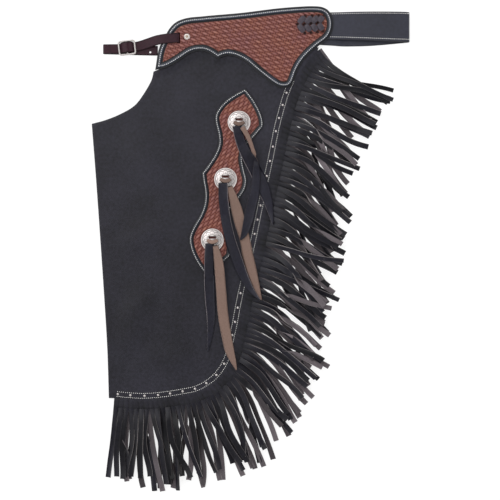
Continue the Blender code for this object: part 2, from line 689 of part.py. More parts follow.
def make_fringe(heap):
    """Both legs' fringes, the lower one first, each as sections with a strip of their own."""
    for leg, strip_z, surface, seed in (
        ("under", GAP, "flesh_side", WANDER["seed"]),
        ("top", TOP_LEG_Z, "black_leather", WANDER["seed"] + 7),
    ):
        _, inner, slits, _ = fringe_stations(leg)
        count = len(slits) - 1
        breaks = [round(count * k / SECTIONS) for k in range(SECTIONS + 1)]
        centre = (inner + slits) / 2
        half = (SEAM_TO_SLITS - SEAM_TO_STRIP) / 2
        laid = lay_fringe(heap, leg, seed, strip_z)
        for a, b in zip(centre, centre[1:]):
            top_a, top_b = ground(np.array([a, b])) + strip_z + STRAND_WALL
            heap.add_stretch(a, b, half, top_a, top_b)
        for k in range(SECTIONS):
            name = f"fringe_{leg}_{k + 1}"
            fringe_section(name, leg, breaks[k], breaks[k + 1], strip_z, laid, surface)


def make_legs(outline):
    """Both legs: the lower one flat on the table, the upper one with its low swells."""
    creases = [offset_edge(UNDER_YOKE_OUTLINE, d, 14.0) for d in (-1.0, -RISE_RUN - 1.0)]
    panel("leg_under", outline, ground, LEG_WALL, "flesh_side", 42.0, creases)
    panel("leg_top", outline, top_leg_bed, LEG_WALL, "black_leather", 30.0, creases)


def top_leg_bed(points):
    """Underside of the face-up leg."""
    return ground(points) + TOP_LEG_Z + swell(points)


def make_yokes():
    """The two yokes; the face-up one has a tooled layer inside its black border, and a slot
    through both for the front strap."""
    panel("yoke_under", UNDER_YOKE_OUTLINE, level(0.0), UNDER_YOKE_WALL, "black_leather")
    half = np.array(SLOT_SIZE) / 2
    corners = table(((-1, -1), (1, -1), (1, 1), (-1, 1)))
    slot = np.array([SLOT_X, SLOT_Y]) + corners * half
    panel("yoke_top_base", YOKE_OUTLINE, level(TOP_YOKE_Z), YOKE_WALL, "black_leather", hole=slot)
    tooled = offset_edge(YOKE_OUTLINE, YOKE_BORDER, 7.0)
    panel("yoke_top_tooled", tooled, level(TOP_TOOLED_Z), TOOLED_WALL, "tooled_leather", hole=slot)


def make_plate():
    """The concho plate: a black backing and the tooled layer inside its border."""
    outline = closed_edge(PLATE_EDGE, 8.0)
    panel("plate_base", outline, level(PLATE_Z), PLATE_WALL, "black_leather")
    tooled = offset_edge(outline, PLATE_BORDER, 6.0)
    panel("plate_tooled", tooled, level(PLATE_TOOLED_Z), PLATE_WALL, "tooled_leather")
    return outline, tooled


def make_conchos():
    """Three domed discs on the plate, each with two slots cut through for its string."""
    base = PLATE_FACE + GAP
    above = CONCHO_FACE[0][1] + 1.0
    half_x, half_y = CONCHO_SLOT_HALF
    for name, (x, y) in CONCHO_CENTRES.items():
        concho = turned(name, (x, y), base, CONCHO_FACE + CONCHO_BACK, 32, "nickel_silver")
        for side in (1, -1):
            box_points = [
                (x + sx * half_x, y + side * CONCHO_SLOT_AWAY + sy * half_y, base + z)
                for z in (-GAP / 2, above) for sx, sy in ((-1, -1), (1, -1), (1, 1), (-1, 1))
            ]
            cutter = solid(f"{name}_slot_{side}", box_points, tube_faces(2, 4), "nickel_silver")
            cutter.hide_render = True
            cutter.display_type = "WIRE"
            cut = concho.modifiers.new("slot", "BOOLEAN")
            cut.operation = "DIFFERENCE"
            cut.object = cutter


def add_conchos(heap):
    """Raise the heap under each concho: rings of its face, each at its inner edge's height."""
    turns = np.linspace(0, 2 * math.pi, 24, endpoint=False)
    for centre in CONCHO_CENTRES.values():
        for (_, height), (radius, _) in zip(CONCHO_FACE, CONCHO_FACE[1:]):
            disc = np.column_stack([np.cos(turns), np.sin(turns)]) * radius + centre
            heap.add_panel(disc, level(PLATE_FACE + GAP + height))


def make_strings(heap):
    """The tails of the conchos' strings, laid on what is below them one after another."""
    for name, rows in STRINGS.items():
        rows = table(rows)
        halves = rows[:, 2] / 2
        heights = heap.lay(rows[:, :2], halves, clear=0.4)
        aside = cross_lines(rows[:, :2])
        left = rows[:, :2] + aside * halves[:, None]
        right = rows[:, :2] - aside * halves[:, None]
        rings = []
        for j, z in enumerate(heights):
            top = z + STRING_WALL
            rings += [(*left[j], z), (*right[j], z), (*right[j], top), (*left[j], top)]
        for j in range(len(rows) - 1):
            wide = max(halves[j], halves[j + 1])
            heap.add_stretch(rows[j, :2], rows[j + 1, :2], wide, heights[j] + STRING_WALL,
                             heights[j + 1] + STRING_WALL)
        surface = "flesh_side" if name.endswith("b") else "black_leather"
        solid(name, rings, tube_faces(len(rows), 4), surface)


def make_strap():
    """The front strap: up through the yoke's slot, left over the yoke's edge and through the
    buckle, then folded back on the table to the lower yoke."""
    under = TOP_YOKE_Z - GAP - STRAP_WALL / 2
    over = YOKE_FACE + GAP + STRAP_WALL / 2
    bend = 2.5
    rise = arc((SLOT_X + bend, under + bend), bend, 270, 180, 4)
    crest = arc((SLOT_X - bend, over - bend), bend, 0, 90, 4)
    route = [(-92.0, 351.6, under)]
    route += [(x, SLOT_Y + 0.2, z) for x, z in np.vstack([rise, crest])]
    route += [(-139.5, 349.7, over), (-150.8, 348.1, 11.8), (-157.5, 346.7, 9.6)]
    route += [(-169.5, 343.3, 4.9), (-180.0, 339.8, 3.7)]
    # Columns: way along the buckle from its middle bar, height
    weave = ((15.4, 3.6), (11.0, 3.6), (8.5, 4.8), (3.6, 8.6), (0.0, 9.5), (-3.6, 8.6),
             (-8.5, 4.8), (-11.0, 3.6), (-15.4, 3.6))
    for u, z in weave:
        x = BUCKLE_CENTRE[0] + u * math.cos(BUCKLE_TURN)
        y = BUCKLE_CENTRE[1] + u * math.sin(BUCKLE_TURN)
        route.append((x, y, z))
    fold = arc((-242.3, 2.85), 1.75, 90, 270, 7)
    route += [(-233.0, 333.4, 4.2)]
    route += [(x, 333.2, z) for x, z in fold]
    route += [(-217.0, 332.6, 1.1), (-187.0, 331.6, 1.1), (-172.0, 331.2, 1.1), (-154.0, 331.0, 1.1)]
    widths = np.full(len(route), 16.2)
    ribbon("strap", route, widths, STRAP_WALL, "oxblood_leather")


def make_buckle():
    """A rectangular wire frame with round corners, and a bar across its middle."""
    half_x, half_y = BUCKLE_HALF
    corner = BUCKLE_CORNER
    c, s = math.cos(BUCKLE_TURN), math.sin(BUCKLE_TURN)
    middle = []
    for cx, cy, start in ((1, 1, 0), (-1, 1, 90), (-1, -1, 180), (1, -1, 270)):
        for turn in np.radians(np.linspace(start, start + 90, 4)):
            x = cx * (half_x - corner) + corner * math.cos(turn)
            y = cy * (half_y - corner) + corner * math.sin(turn)
            middle.append((x, y))
    middle = np.array(middle)
    out = -left_normals(middle, closed=True)
    sides = 8
    points = []
    for place, way in zip(middle, out):
        for k in range(sides):
            turn = 2 * math.pi * (k + 0.5) / sides
            flat = place + way * BUCKLE_WIRE * math.cos(turn)
            x = BUCKLE_CENTRE[0] + flat[0] * c - flat[1] * s
            y = BUCKLE_CENTRE[1] + flat[0] * s + flat[1] * c
            points.append((x, y, BUCKLE_Z + BUCKLE_WIRE * math.sin(turn)))
    rings = len(middle)
    faces = []
    for r in range(rings):
        n = (r + 1) % rings
        for k in range(sides):
            m = (k + 1) % sides
            faces.append((r * sides + k, n * sides + k, n * sides + m, r * sides + m))
    frame = solid("buckle", points, faces, "nickel_silver")
    bar_points = []
    for v in (-half_y, half_y):
        for k in range(sides):
            turn = 2 * math.pi * k / sides
            u = BUCKLE_BAR * math.cos(turn)
            x = BUCKLE_CENTRE[0] + u * c - v * s
            y = BUCKLE_CENTRE[1] + u * s + v * c
            bar_points.append((x, y, BUCKLE_Z + BUCKLE_BAR * math.sin(turn)))
    bar = solid("buckle_bar", bar_points, tube_faces(2, sides), "nickel_silver")
    bar.hide_render = True
    bar.display_type = "WIRE"
    join = frame.modifiers.new("bar", "BOOLEAN")
    join.operation = "UNION"
    join.object = bar
    frame.data.shade_smooth()


def make_belt():
    """The back belt: from under the yoke to the right, over in a loose fold and back."""
    # Columns: x, y, z, width
    out = ((66, 371, 6.15, 45), (137, 371.5, 6.3, 45), (183, 371.5, 6.9, 48), (235, 370.3, 8, 50),
           (256, 369.8, 8.3, 50))
    fold = arc((260.6, 4.65), 3.65, 90, -90, 9)[1:-1]
    back = ((256, 369.0, 1.0, 50), (221, 365, 1.0, 49), (193, 362.5, 1.0, 48),
            (164, 361.5, 1.0, 47), (152, 361.6, 1.0, 47), (140, 362, 3.8, 46), (66, 365, 3.8, 45))
    rows = list(out) + [(x, 369.4, z, 50) for x, z in fold] + list(back)
    rows = table(rows)
    ribbon("belt", rows[:, :3], rows[:, 3], BELT_WALL, "black_leather")


def crossing(p, d, q, e):
    """Where the line through p along d meets the line through q along e."""
    turn = d[0] * e[1] - d[1] * e[0]
    share = ((q[0] - p[0]) * e[1] - (q[1] - p[1]) * e[0]) / turn
    return p + d * share


def lacing_outline():
    """Four chevrons that point left, joined by a narrow spine through their points: the outline
    runs out along the upper arms and comes back along the lower ones."""
    half, spine = 3.0, 0.9
    rows = table(LACING)
    points = rows[:, 2:4]
    run = points[-1] - points[0]
    run /= np.linalg.norm(run)
    lift = np.array([-run[1], run[0]])
    outline = []
    for side, holes in ((1, rows[:, 0:2]), (-1, rows[::-1, 4:6])):
        mids = points if side == 1 else points[::-1]
        for mid, hole in zip(mids, holes):
            arm = (hole - mid) / np.linalg.norm(hole - mid)
            square = np.array([-arm[1], arm[0]])
            edge = mid + lift * spine * side
            for way in (1, -1):
                foot = mid + square * half * way
                corner = [crossing(foot, arm, edge, run), hole + square * half * way]
                outline += corner if way == 1 else corner[::-1]
    return np.array(outline)


def make_lacing():
    """The flat black lace over the belt's end, on the yoke."""
    panel("lacing", lacing_outline(), level(YOKE_FACE + GAP), LACING_WALL, "black_leather")


def main():
    for old in list(bpy.data.objects):
        bpy.data.objects.remove(old)
    outline = leg_outline()
    make_legs(outline)
    make_yokes()
    plate, tooled = make_plate()
    make_conchos()
    turned("rivet", RIVET_PLACE, YOKE_FACE + GAP, RIVET, 16, "nickel_silver")
    make_lacing()
    make_strap()
    make_buckle()
    make_belt()
    heap = Heap((-300, -440), (330, 440), 0.5)
    make_fringe(heap)
    heap.add_panel(outline, lambda p: top_leg_bed(p) + LEG_WALL)
    heap.add_panel(plate, level(PLATE_Z + PLATE_WALL))
    heap.add_panel(tooled, level(PLATE_FACE))
    add_conchos(heap)
    make_strings(heap)


main()
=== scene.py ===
"""Looks of the leather show chaps: every surface of the folded, fringed pair.

The pair lies flat, one leg face up and the other under it, face down. Lengths here are in
millimetres, X to the right, Y up the garment and Z up from the table, and each mesh is scaled
to metres as it is made. Places and outlines are those of the solids.
"""

import math

import bmesh
import bpy
import numpy as np
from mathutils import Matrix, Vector


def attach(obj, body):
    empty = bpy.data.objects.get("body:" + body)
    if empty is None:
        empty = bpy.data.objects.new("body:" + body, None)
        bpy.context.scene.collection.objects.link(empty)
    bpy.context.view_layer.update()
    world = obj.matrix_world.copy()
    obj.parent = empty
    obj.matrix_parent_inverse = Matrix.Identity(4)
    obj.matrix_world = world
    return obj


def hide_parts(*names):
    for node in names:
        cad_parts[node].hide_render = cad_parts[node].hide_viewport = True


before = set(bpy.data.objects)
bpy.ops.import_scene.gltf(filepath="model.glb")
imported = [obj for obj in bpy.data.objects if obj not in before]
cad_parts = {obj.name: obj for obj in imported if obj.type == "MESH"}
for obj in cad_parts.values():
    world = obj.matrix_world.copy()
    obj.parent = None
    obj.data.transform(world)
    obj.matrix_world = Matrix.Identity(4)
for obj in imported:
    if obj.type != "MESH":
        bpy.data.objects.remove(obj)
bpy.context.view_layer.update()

MM = 0.001

# Leather walls and the gaps between layers
GAP = 0.3
LEG_WALL = 2.0
YOKE_WALL = 2.4
TOOLED_WALL = 1.5
PLATE_WALL = 1.5
STRAND_WALL = 1.5
STRING_WALL = 2.0
STRAP_WALL = 2.2
BELT_WALL = 2.0
LACING_WALL = 1.8

# Heights of the layers, from the table up
UNDER_YOKE_WALL = 2.5
RISE = UNDER_YOKE_WALL + GAP
RISE_RUN = 11.0
TOP_LEG_Z = LEG_WALL + 0.4
TOP_LEG_FACE = TOP_LEG_Z + LEG_WALL
TOP_YOKE_Z = RISE + TOP_LEG_FACE + 0.4
TOP_TOOLED_Z = TOP_YOKE_Z + YOKE_WALL + GAP
YOKE_FACE = TOP_TOOLED_Z + TOOLED_WALL
PLATE_Z = TOP_LEG_FACE + GAP
PLATE_TOOLED_Z = PLATE_Z + PLATE_WALL + GAP
PLATE_FACE = PLATE_TOOLED_Z + PLATE_WALL

# Widths of the borders and of the fringe
YOKE_BORDER = 10.6
PLATE_BORDER = 8.0
SEAM_TO_EDGE = 7.5
SEAM_TO_STRIP = 7.8
SEAM_TO_SLITS = 22.0
STRAND_PITCH = 8.6
STRAND_WIDTH = 8.0
SLIT_WIDTH = 0.6
STRAIGHT_ROOT = 12.0
SECTIONS = 4

# Sewing: pitch and size of one thread on the face, and how far the rows lie from their edges
STITCH_PITCH = 3.3
STITCH_LENGTH = 1.8
STITCH_RADIUS = 0.65
STITCH_SLANT = 30.0
YOKE_STITCH = 4.9
PLATE_STITCH = 2.9
SEAM_STITCH = 4.0
STUD_RADIUS = 2.2

# Hardware
CONCHO_RADIUS = 19.05
CONCHO_SLOT_HALF = (6.3, 2.2)
CONCHO_SLOT_AWAY = 4.2
CONCHO_CENTRES = {"concho_1": (-18.5, 211.3), "concho_2": (-40.9, 116.5), "concho_3": (-62.9, 15.5)}
BUCKLE_CENTRE = (-205.0, 335.4)
BUCKLE_TURN = math.radians(7.0)
BUCKLE_HALF = (13.3, 11.0)
BUCKLE_CORNER = 3.4
BUCKLE_WIRE = 1.5
BUCKLE_BAR = 1.3
BUCKLE_Z = 6.5
RIVET_PLACE = (-105.0, 352.9)
SLOT_X = -118.9
SLOT_Y = 351.0
SLOT_SIZE = (4.6, 17.4)
STRAP_HOLE = (-166.6, 328.4)

# The row of studs runs down the middle of this seam, from the yoke to the left end of the hem.
# Columns: x, y
SEAM = (
    (118, 342), (100, 328), (82, 305), (65, 272), (48, 218), (33, 147), (17, 73), (0, -8),
    (-16, -73), (-30, -143), (-43, -190), (-56, -209), (-73, -223), (-91, -232), (-112, -236.5),
    (-176, -244), (-234, -240),
)

# Where the studs sit, as distances along the seam
STUDS = (
    76.0, 101.3, 122.8, 145.4, 167.9, 194.0, 218.5, 244.1, 267.6, 294.2, 318.3, 342.4, 367.8, 393.1,
    418.5, 443.9, 468.6, 492.7, 515.3, 540.0, 564.8, 587.8, 609.4, 630.6, 651.6, 672.8, 693.0, 715.6,
    739.1, 760.2,
)

# The leg's edge from the left end of the hem, up the inside leg and round the crotch to the
# yoke, under which it runs straight to the seam. Columns: x, y, corner
LEG_EDGE = (
    (-235.5, -248, 1), (-238, -168, 0), (-243, -84, 0), (-250, 20, 0), (-257, 119, 0),
    (-264, 209, 1), (-242, 215, 0), (-217, 225, 0), (-191, 241, 0), (-178, 258, 0),
    (-170, 271, 0), (-164, 283, 0), (-161, 296, 1), (-150, 300, 0), (-128, 315, 0),
    (-100, 330, 0), (-84, 338, 1), (60, 337, 1), (114, 336, 1),
)

# The leg's hidden tongue between the two yokes. Columns: x, y, corner
TONGUE_EDGE = ((-84, 337, 1), (-84, 372, 1), (-14, 386, 0), (60, 392, 1), (60, 336, 1))

# Outer edge of the yoke, clockwise from its left tip. Columns: x, y, corner
YOKE_EDGE = (
    (-158, 298, 1), (-150, 338, 0), (-139, 359, 0), (-131, 371, 0), (-121, 379, 0),
    (-107, 384, 0), (-81, 387, 0), (-14, 393, 0), (52, 401, 0), (78, 403, 0), (105, 404, 0),
    (118, 403, 0), (129, 398, 0), (135.5, 388, 0), (138, 375, 0), (136, 362, 0), (130, 351, 0),
    (115, 339, 0), (100, 326, 0), (86, 310, 0), (77, 293, 0), (73, 281, 0), (69, 273, 0),
    (60, 268.5, 0), (49, 269, 0), (39, 274, 0), (23, 286, 0), (7, 299, 0), (-6, 310, 0),
    (-20, 318, 0), (-36, 322, 0), (-46, 320, 0), (-54, 316, 1), (-62, 322, 0), (-76, 329, 0),
    (-86, 329.5, 0), (-97, 327, 0), (-113, 317, 0), (-129, 307, 0), (-142, 301, 0),
)

# Outer edge of the concho plate, clockwise from its top tip. Columns: x, y, corner
PLATE_EDGE = (
    (-8, 268, 1), (6, 250, 0), (16, 232, 0), (21.5, 217, 0), (22.5, 204, 1), (6, 185, 0),
    (-7, 170, 0), (-12, 152, 0), (-9, 132, 0), (-5, 114, 0), (-7, 102, 0), (-17, 85, 0),
    (-31, 69, 0), (-37, 45, 0), (-35, 22, 0), (-31, 2, 0), (-33, -12, 1), (-47, -24, 0),
    (-64, -34, 0), (-78, -39, 1), (-90, -21, 0), (-99, -1, 0), (-102, 19, 0), (-96, 36, 0),
    (-85, 55, 0), (-78, 72, 0), (-76, 94, 0), (-79, 112, 0), (-81, 127, 1), (-69, 143, 0),
    (-59, 159, 0), (-53, 176, 0), (-54, 192, 0), (-58, 208, 0), (-59, 222, 0), (-54, 233, 0),
    (-42, 247, 0), (-25, 259, 0),
)

# How the strands lie along the seam, for the lower and the upper leg. Columns: seam_mm, lay_deg,
# length
FRINGE_LAY = {
    "under": (
        (0, -50, 122), (110, -58, 130), (200, -61, 138), (300, -57, 144), (400, -53, 149),
        (480, -50, 150), (530, -53, 150), (558, -58, 148), (578, -64, 145), (600, -70, 142),
        (622, -78, 138), (650, -85, 136), (700, -88, 136), (770, -90, 122),
    ),
    "top": (
        (0, -24, 124), (60, -19, 136), (110, -26, 134), (160, -38, 132), (250, -34, 136),
        (400, -33, 134), (480, -34, 132), (530, -40, 130), (558, -48, 127), (578, -56, 125),
        (600, -66, 122), (622, -76, 121), (650, -84, 121), (700, -87, 121), (770, -91, 118),
    ),
}

# Where each leg's first slit is, along the seam: half a pitch apart, so that the slits of one leg
# lie over the strands of the other
FIRST_SLIT = {"under": 3.7, "top": 8.0}
# How far the last slit stays off the end of the hem, at least
LAST_SLIT_OFF = 4.0

# The share of the strands that turn right over: distances along the seam, shares
TURNED_OVER = ((0.0, 110.0, 150.0, 560.0, 600.0), (0.0, 0.0, 0.26, 0.26, 0.06))
# Painted shade on the upper half of the lower leg's strands near the hem, where the upper leg's strands
# cover them: the same
HEM_PAINTED_SHADE = ((560.0, 600.0), (0.0, 0.45))

# Seeded wander of the strands, in degrees and as a share of the length
WANDER = {"seed": 11, "turn": 8.0, "bend": 11.0, "length": 0.045}

# The tails that hang from the conchos, from the slot to the tip, in the order in which they lie
# on each other. Columns: x, y, width
STRINGS = {
    "string_1a": (
        (-22.3, 205.0, 14.5), (-19.5, 191.9, 15.6), (-14.5, 175.2, 16.6), (-5.7, 156.9, 18.8),
        (8.0, 132.8, 21.0), (23.5, 98.7, 20.6), (30.6, 77.0, 14.6), (34.3, 60.4, 9.0),
        (37.4, 41.6, 2.4),
    ),
    "string_2b": (
        (-33.9, 103.7, 9.0), (-28.6, 87.0, 14.0), (-22.8, 67.1, 18.5), (-16.5, 42.1, 18.5),
        (-8.7, 15.5, 17.5), (-4.2, -9.5, 18.5), (2.2, -34.4, 17.3), (10.2, -61.1, 11.8),
        (18.8, -84.4, 2.4),
    ),
    "string_2a": (
        (-45.3, 110.0, 15.0), (-44.3, 82.0, 15.8), (-41.6, 57.0, 16.0), (-34.4, 20.5, 17.0),
        (-22.8, -16.1, 18.0), (-11.1, -44.4, 15.0), (2.2, -67.7, 9.0), (16.3, -84.4, 2.4),
    ),
    "string_1b": (
        (-13.3, 202.7, 8.5), (-3.8, 186.5, 8.0), (3.8, 166.9, 7.0), (8.5, 148.6, 8.5),
        (10.2, 123.6, 13.5), (7.7, 95.4, 16.0), (1.0, 67.1, 17.0), (-4.8, 42.1, 15.0),
        (-12.0, 22.1, 8.0), (-16.5, 15.5, 2.4),
    ),
    "string_3a": (
        (-67.6, 9.5, 14.0), (-67.6, -21.1, 17.0), (-67.9, -51.1, 17.4), (-66.6, -84.4, 16.6),
        (-65.2, -114.3, 14.0), (-67.2, -144.3, 9.0), (-70.6, -170.1, 2.4),
    ),
    "string_3b": (
        (-57.6, 6.0, 9.0), (-52.7, -19.5, 15.2), (-48.6, -63.4, 16.8), (-44.8, -111.2, 17.6),
        (-39.6, -142.6, 17.0), (-33.6, -170.9, 15.0), (-27.0, -189.2, 8.5), (-22.8, -200.9, 2.4),
    ),
}

# Black lacing over the belt's end. Columns: top hole x, y, point x, y, lower hole x, y
LACING = (
    (90.7, 386.0, 79.2, 373.7, 89.7, 360.4),
    (102.2, 386.0, 90.7, 373.7, 100.2, 361.4),
    (112.7, 386.4, 101.5, 374.7, 110.7, 362.2),
    (121.1, 386.4, 112.7, 375.7, 120.3, 363.2),
)

# The stamped pattern's grid. Columns: direction of its rows, direction square to its columns, both
# in degrees, spacing of the columns, spacing of the rows
YOKE_STAMP = (-21.7, -17.5, 7.97, 4.04)
PLATE_STAMP = (48.0, 52.0, 7.97, 4.04)

# The band that each string makes over its concho. Columns: x and y from the concho's middle,
# height over the top of its dome
KNOT = (
    (-8.2, -0.2, -2.6), (-6.4, -1.4, -0.2), (-3.2, -2.9, 1.0), (0.0, -3.6, 1.4), (3.2, -2.9, 1.0),
    (6.4, -1.4, -0.2), (8.2, -0.2, -2.6),
)

# Low swells of the face-up leg. Columns: x, y, half length, half width, turn_deg, height
SWELLS = (
    (-175, 150, 85, 38, -58, 2.6), (-180, 20, 58, 38, 20, 2.2),
    (-190, -110, 80, 38, 75, 2.4), (-135, -180, 50, 30, -20, 1.6),
)

# Soft creases. Columns: start x, y, end x, y, half width, height
CREASES = (
    (-250, 205, -150, 120, 9, 0.7), (-235, 150, -120, 60, 12, -0.6), (-252, 60, -160, 40, 10, 0.6),
    (-245, -20, -130, -75, 14, -0.5), (-238, -120, -150, -60, 11, 0.5), (-150, 230, -60, 250, 16, 0.5),
    (-110, 150, -60, 60, 14, -0.4), (-60, -60, -20, -120, 12, 0.5), (-170, -215, -90, -170, 12, 0.5),
    (-225, -225, -190, -150, 10, -0.4), (-20, 120, 15, 160, 9, 0.4), (-110, -110, -60, -190, 13, -0.4),
)


def table(rows):
    """A table of numbers as an array."""
    return np.array(rows, dtype=float)


def spline(points, step):
    """A smooth line through the points: cubic pieces whose slopes are the chords of each
    point's two neighbours, sampled at most step apart."""
    points = table(points)
    chords = np.linalg.norm(np.diff(points[:, :2], axis=0), axis=1)
    along = np.concatenate([[0.0], np.cumsum(chords)])
    slopes = np.gradient(points, along, axis=0)
    pieces = []
    for i, chord in enumerate(chords):
        count = max(1, math.ceil(chord / step))
        t = np.linspace(0.0, 1.0, count + 1)[:-1, None]
        p, q = points[i], points[i + 1]
        m, n = slopes[i] * chord, slopes[i + 1] * chord
        pieces.append(
            (2 * t**3 - 3 * t**2 + 1) * p + (t**3 - 2 * t**2 + t) * m
            + (3 * t**2 - 2 * t**3) * q + (t**3 - t**2) * n
        )
    return np.vstack(pieces + [points[-1:]])


def cornered(rows, step):
    """An open line, smooth between its marked corners; both ends are corners."""
    rows = table(rows)
    corners = list(np.flatnonzero(rows[:, 2] > 0.5))
    runs = [spline(rows[a:b + 1, :2], step)[:-1] for a, b in zip(corners, corners[1:])]
    return np.vstack(runs + [rows[-1:, :2]])


def closed_edge(rows, step):
    """A closed outline, smooth between its marked corners; the first row is a corner."""
    rows = list(rows) + [rows[0]]
    return cornered(rows, step)[:-1]


def lengths(line):
    """Distance along a line to each of its points."""
    return np.concatenate([[0.0], np.cumsum(np.linalg.norm(np.diff(line, axis=0), axis=1))])


def at(line, where):
    """Points of a line at the given distances along it."""
    along = lengths(line)
    return np.column_stack([np.interp(where, along, line[:, k]) for k in range(line.shape[1])])


def closed_resample(ring, step):
    """Points of a closed outline at even spacing along it, near step."""
    loop = np.vstack([ring, ring[:1]])
    total = lengths(loop)[-1]
    return at(loop, np.linspace(0.0, total, max(3, round(total / step)), endpoint=False))


def left_normals(line, closed=False):
    """Unit vectors to the left of the line at each of its points."""
    if closed:
        ahead = np.roll(line, -1, axis=0) - np.roll(line, 1, axis=0)
    else:
        ahead = np.gradient(line, axis=0)
    ahead /= np.linalg.norm(ahead, axis=1)[:, None]
    return np.column_stack([-ahead[:, 1], ahead[:, 0]])


def distance_to(points, ring):
    """Distance from each point to the nearest stretch of a closed outline."""
    best = np.full(len(points), np.inf)
    for start, run in zip(ring, np.roll(ring, -1, axis=0) - ring):
        share = np.clip(((points - start) @ run) / (run @ run), 0.0, 1.0)
        gaps = points - start - share[:, None] * run
        best = np.minimum(best, np.einsum("ij,ij->i", gaps, gaps))
    return np.sqrt(best)


def inside(points, ring):
    """True for each point that the closed outline surrounds, by counting crossings."""
    odd = np.zeros(len(points), dtype=bool)
    x, y = points[:, 0], points[:, 1]
    for (ax, ay), (bx, by) in zip(ring, np.roll(ring, -1, axis=0)):
        if ay == by:
            continue
        crosses = (ay > y) != (by > y)
        odd ^= crosses & (x < ax + (y - ay) * (bx - ax) / (by - ay))
    return odd


def offset_edge(ring, distance, step):
    """The closed outline moved inwards by distance, or outwards where it is negative."""
    fine = closed_resample(ring, 1.0)
    normals = left_normals(fine, closed=True)
    area = signed_area(fine)
    moved = fine + normals * distance * math.copysign(1.0, area)
    keep = distance_to(moved, fine) > abs(distance) * 0.97
    return closed_resample(moved[keep], step)


def signed_area(ring):
    """Area of a closed outline, positive where it runs anticlockwise."""
    x, y = ring[:, 0], ring[:, 1]
    return 0.5 * np.sum(x * np.roll(y, -1) - np.roll(x, -1) * y)


YOKE_OUTLINE = closed_edge(YOKE_EDGE, 9.0)
UNDER_YOKE_OUTLINE = offset_edge(YOKE_OUTLINE, 1.5, 11.0)
YOKE_RING = closed_resample(UNDER_YOKE_OUTLINE, 3.0)
PLATE_OUTLINE = closed_edge(PLATE_EDGE, 8.0)


def ground(points):
    """Height of the layers' bed: it rises over the yoke of the leg below."""
    away = distance_to(points, YOKE_RING)
    away[inside(points, YOKE_RING)] *= -1.0
    return RISE * np.clip((RISE_RUN + 1.0 - away) / RISE_RUN, 0.0, 1.0)


def swell(points):
    """Height of the face-up leg's soft swells: one cosine hump for each row."""
    height = np.zeros(len(points))
    for x, y, half_length, half_width, turn, top in SWELLS:
        c, s = math.cos(math.radians(turn)), math.sin(math.radians(turn))
        u = ((points[:, 0] - x) * c + (points[:, 1] - y) * s) / half_length
        v = (-(points[:, 0] - x) * s + (points[:, 1] - y) * c) / half_width
        reach = np.clip(np.hypot(u, v), 0.0, 1.0)
        height += top * 0.5 * (1.0 + np.cos(math.pi * reach))
    return height


def crease(points):
    """Height of the soft creases: along each row's line a bell-shaped ridge or hollow, which
    fades out towards both ends."""
    height = np.zeros(len(points))
    for ax, ay, bx, by, half, top in CREASES:
        run = np.array([bx - ax, by - ay], dtype=float)
        length = np.linalg.norm(run)
        run /= length
        u = (points - (ax, ay)) @ run
        v = (points - (ax, ay)) @ np.array([-run[1], run[0]])
        v = v + 0.06 * length * np.sin(math.pi * np.clip(u / length, 0, 1))
        fade = np.sin(math.pi * np.clip(u / length, 0.0, 1.0)) ** 2
        height += top * fade * np.exp(-((v / half) ** 2))
    return height


# Making meshes


def grid_faces(rows, columns, wrap=False):
    """Four-cornered faces between the neighbouring rows and columns of a numbered grid, which
    may close round from its last column to its first."""
    index = np.arange(rows * columns).reshape(rows, columns)
    if wrap:
        index = np.hstack([index, index[:, :1]])
    corners = (index[:-1, :-1], index[1:, :-1], index[1:, 1:], index[:-1, 1:])
    return np.stack(corners, axis=-1).reshape(-1, 4)


def make(name, points, faces, material, marks=None, sharp=None, second=None):
    """One object from millimetre points and faces. Marks are numbers for each point, which its
    material reads by name. Points at the same place are merged, and faces turned outwards. The
    second material, where there is one, is for the faces from the given number on."""
    mesh = bpy.data.meshes.new(name)
    mesh.from_pydata((np.asarray(points) * MM).tolist(), [], [tuple(f) for f in faces])
    for key, values in (marks or {}).items():
        layer = mesh.attributes.new(key, "FLOAT", "POINT")
        layer.data.foreach_set("value", np.asarray(values, dtype=np.float32))
    if second:
        later = np.arange(len(faces)) >= second[1]
        mesh.polygons.foreach_set("material_index", later.astype(np.int32))
    shaped = bmesh.new()
    shaped.from_mesh(mesh)
    bmesh.ops.remove_doubles(shaped, verts=shaped.verts, dist=2e-6)
    bmesh.ops.dissolve_degenerate(shaped, edges=shaped.edges, dist=1e-7)
    bmesh.ops.recalc_face_normals(shaped, faces=shaped.faces)
    shaped.to_mesh(mesh)
    shaped.free()
    mesh.shade_smooth()
    if sharp:
        mesh.set_sharp_from_angle(angle=math.radians(sharp))
    mesh.materials.append(material)
    if second:
        mesh.materials.append(second[0])
    piece = bpy.data.objects.new(name, mesh)
    bpy.context.scene.collection.objects.link(piece)
    return piece


def stand_in(piece, slot, *nodes):
    """Put the piece on the body and hide the solids that it stands in for. The slot is not used."""
    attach(piece, "root")
    if nodes:
        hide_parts(*nodes)
    return piece


def join_parts(parts):
    """Points, faces and marks of several parts as one."""
    points, faces, marks = [], [], {}
    first = 0
    for part_points, part_faces, part_marks in parts:
        points.append(part_points)
        faces += [tuple(i + first for i in face) for face in np.asarray(part_faces).tolist()] \
            if isinstance(part_faces, np.ndarray) else [tuple(i + first for i in f) for f in part_faces]
        for key, values in part_marks.items():
            marks.setdefault(key, []).append(values)
        first += len(part_points)
    return np.vstack(points), faces, {key: np.concatenate(v) for key, v in marks.items()}


def split_ring(ring, start, end):
    """The two ways round a closed outline between its points nearest to start and end."""
    a = int(np.argmin(np.linalg.norm(ring - start, axis=1)))
    ring = np.roll(ring, -a, axis=0)
    b = int(np.argmin(np.linalg.norm(ring - end, axis=1)))
    return ring[:b + 1], np.vstack([ring[:1], ring[:b - 1:-1]])


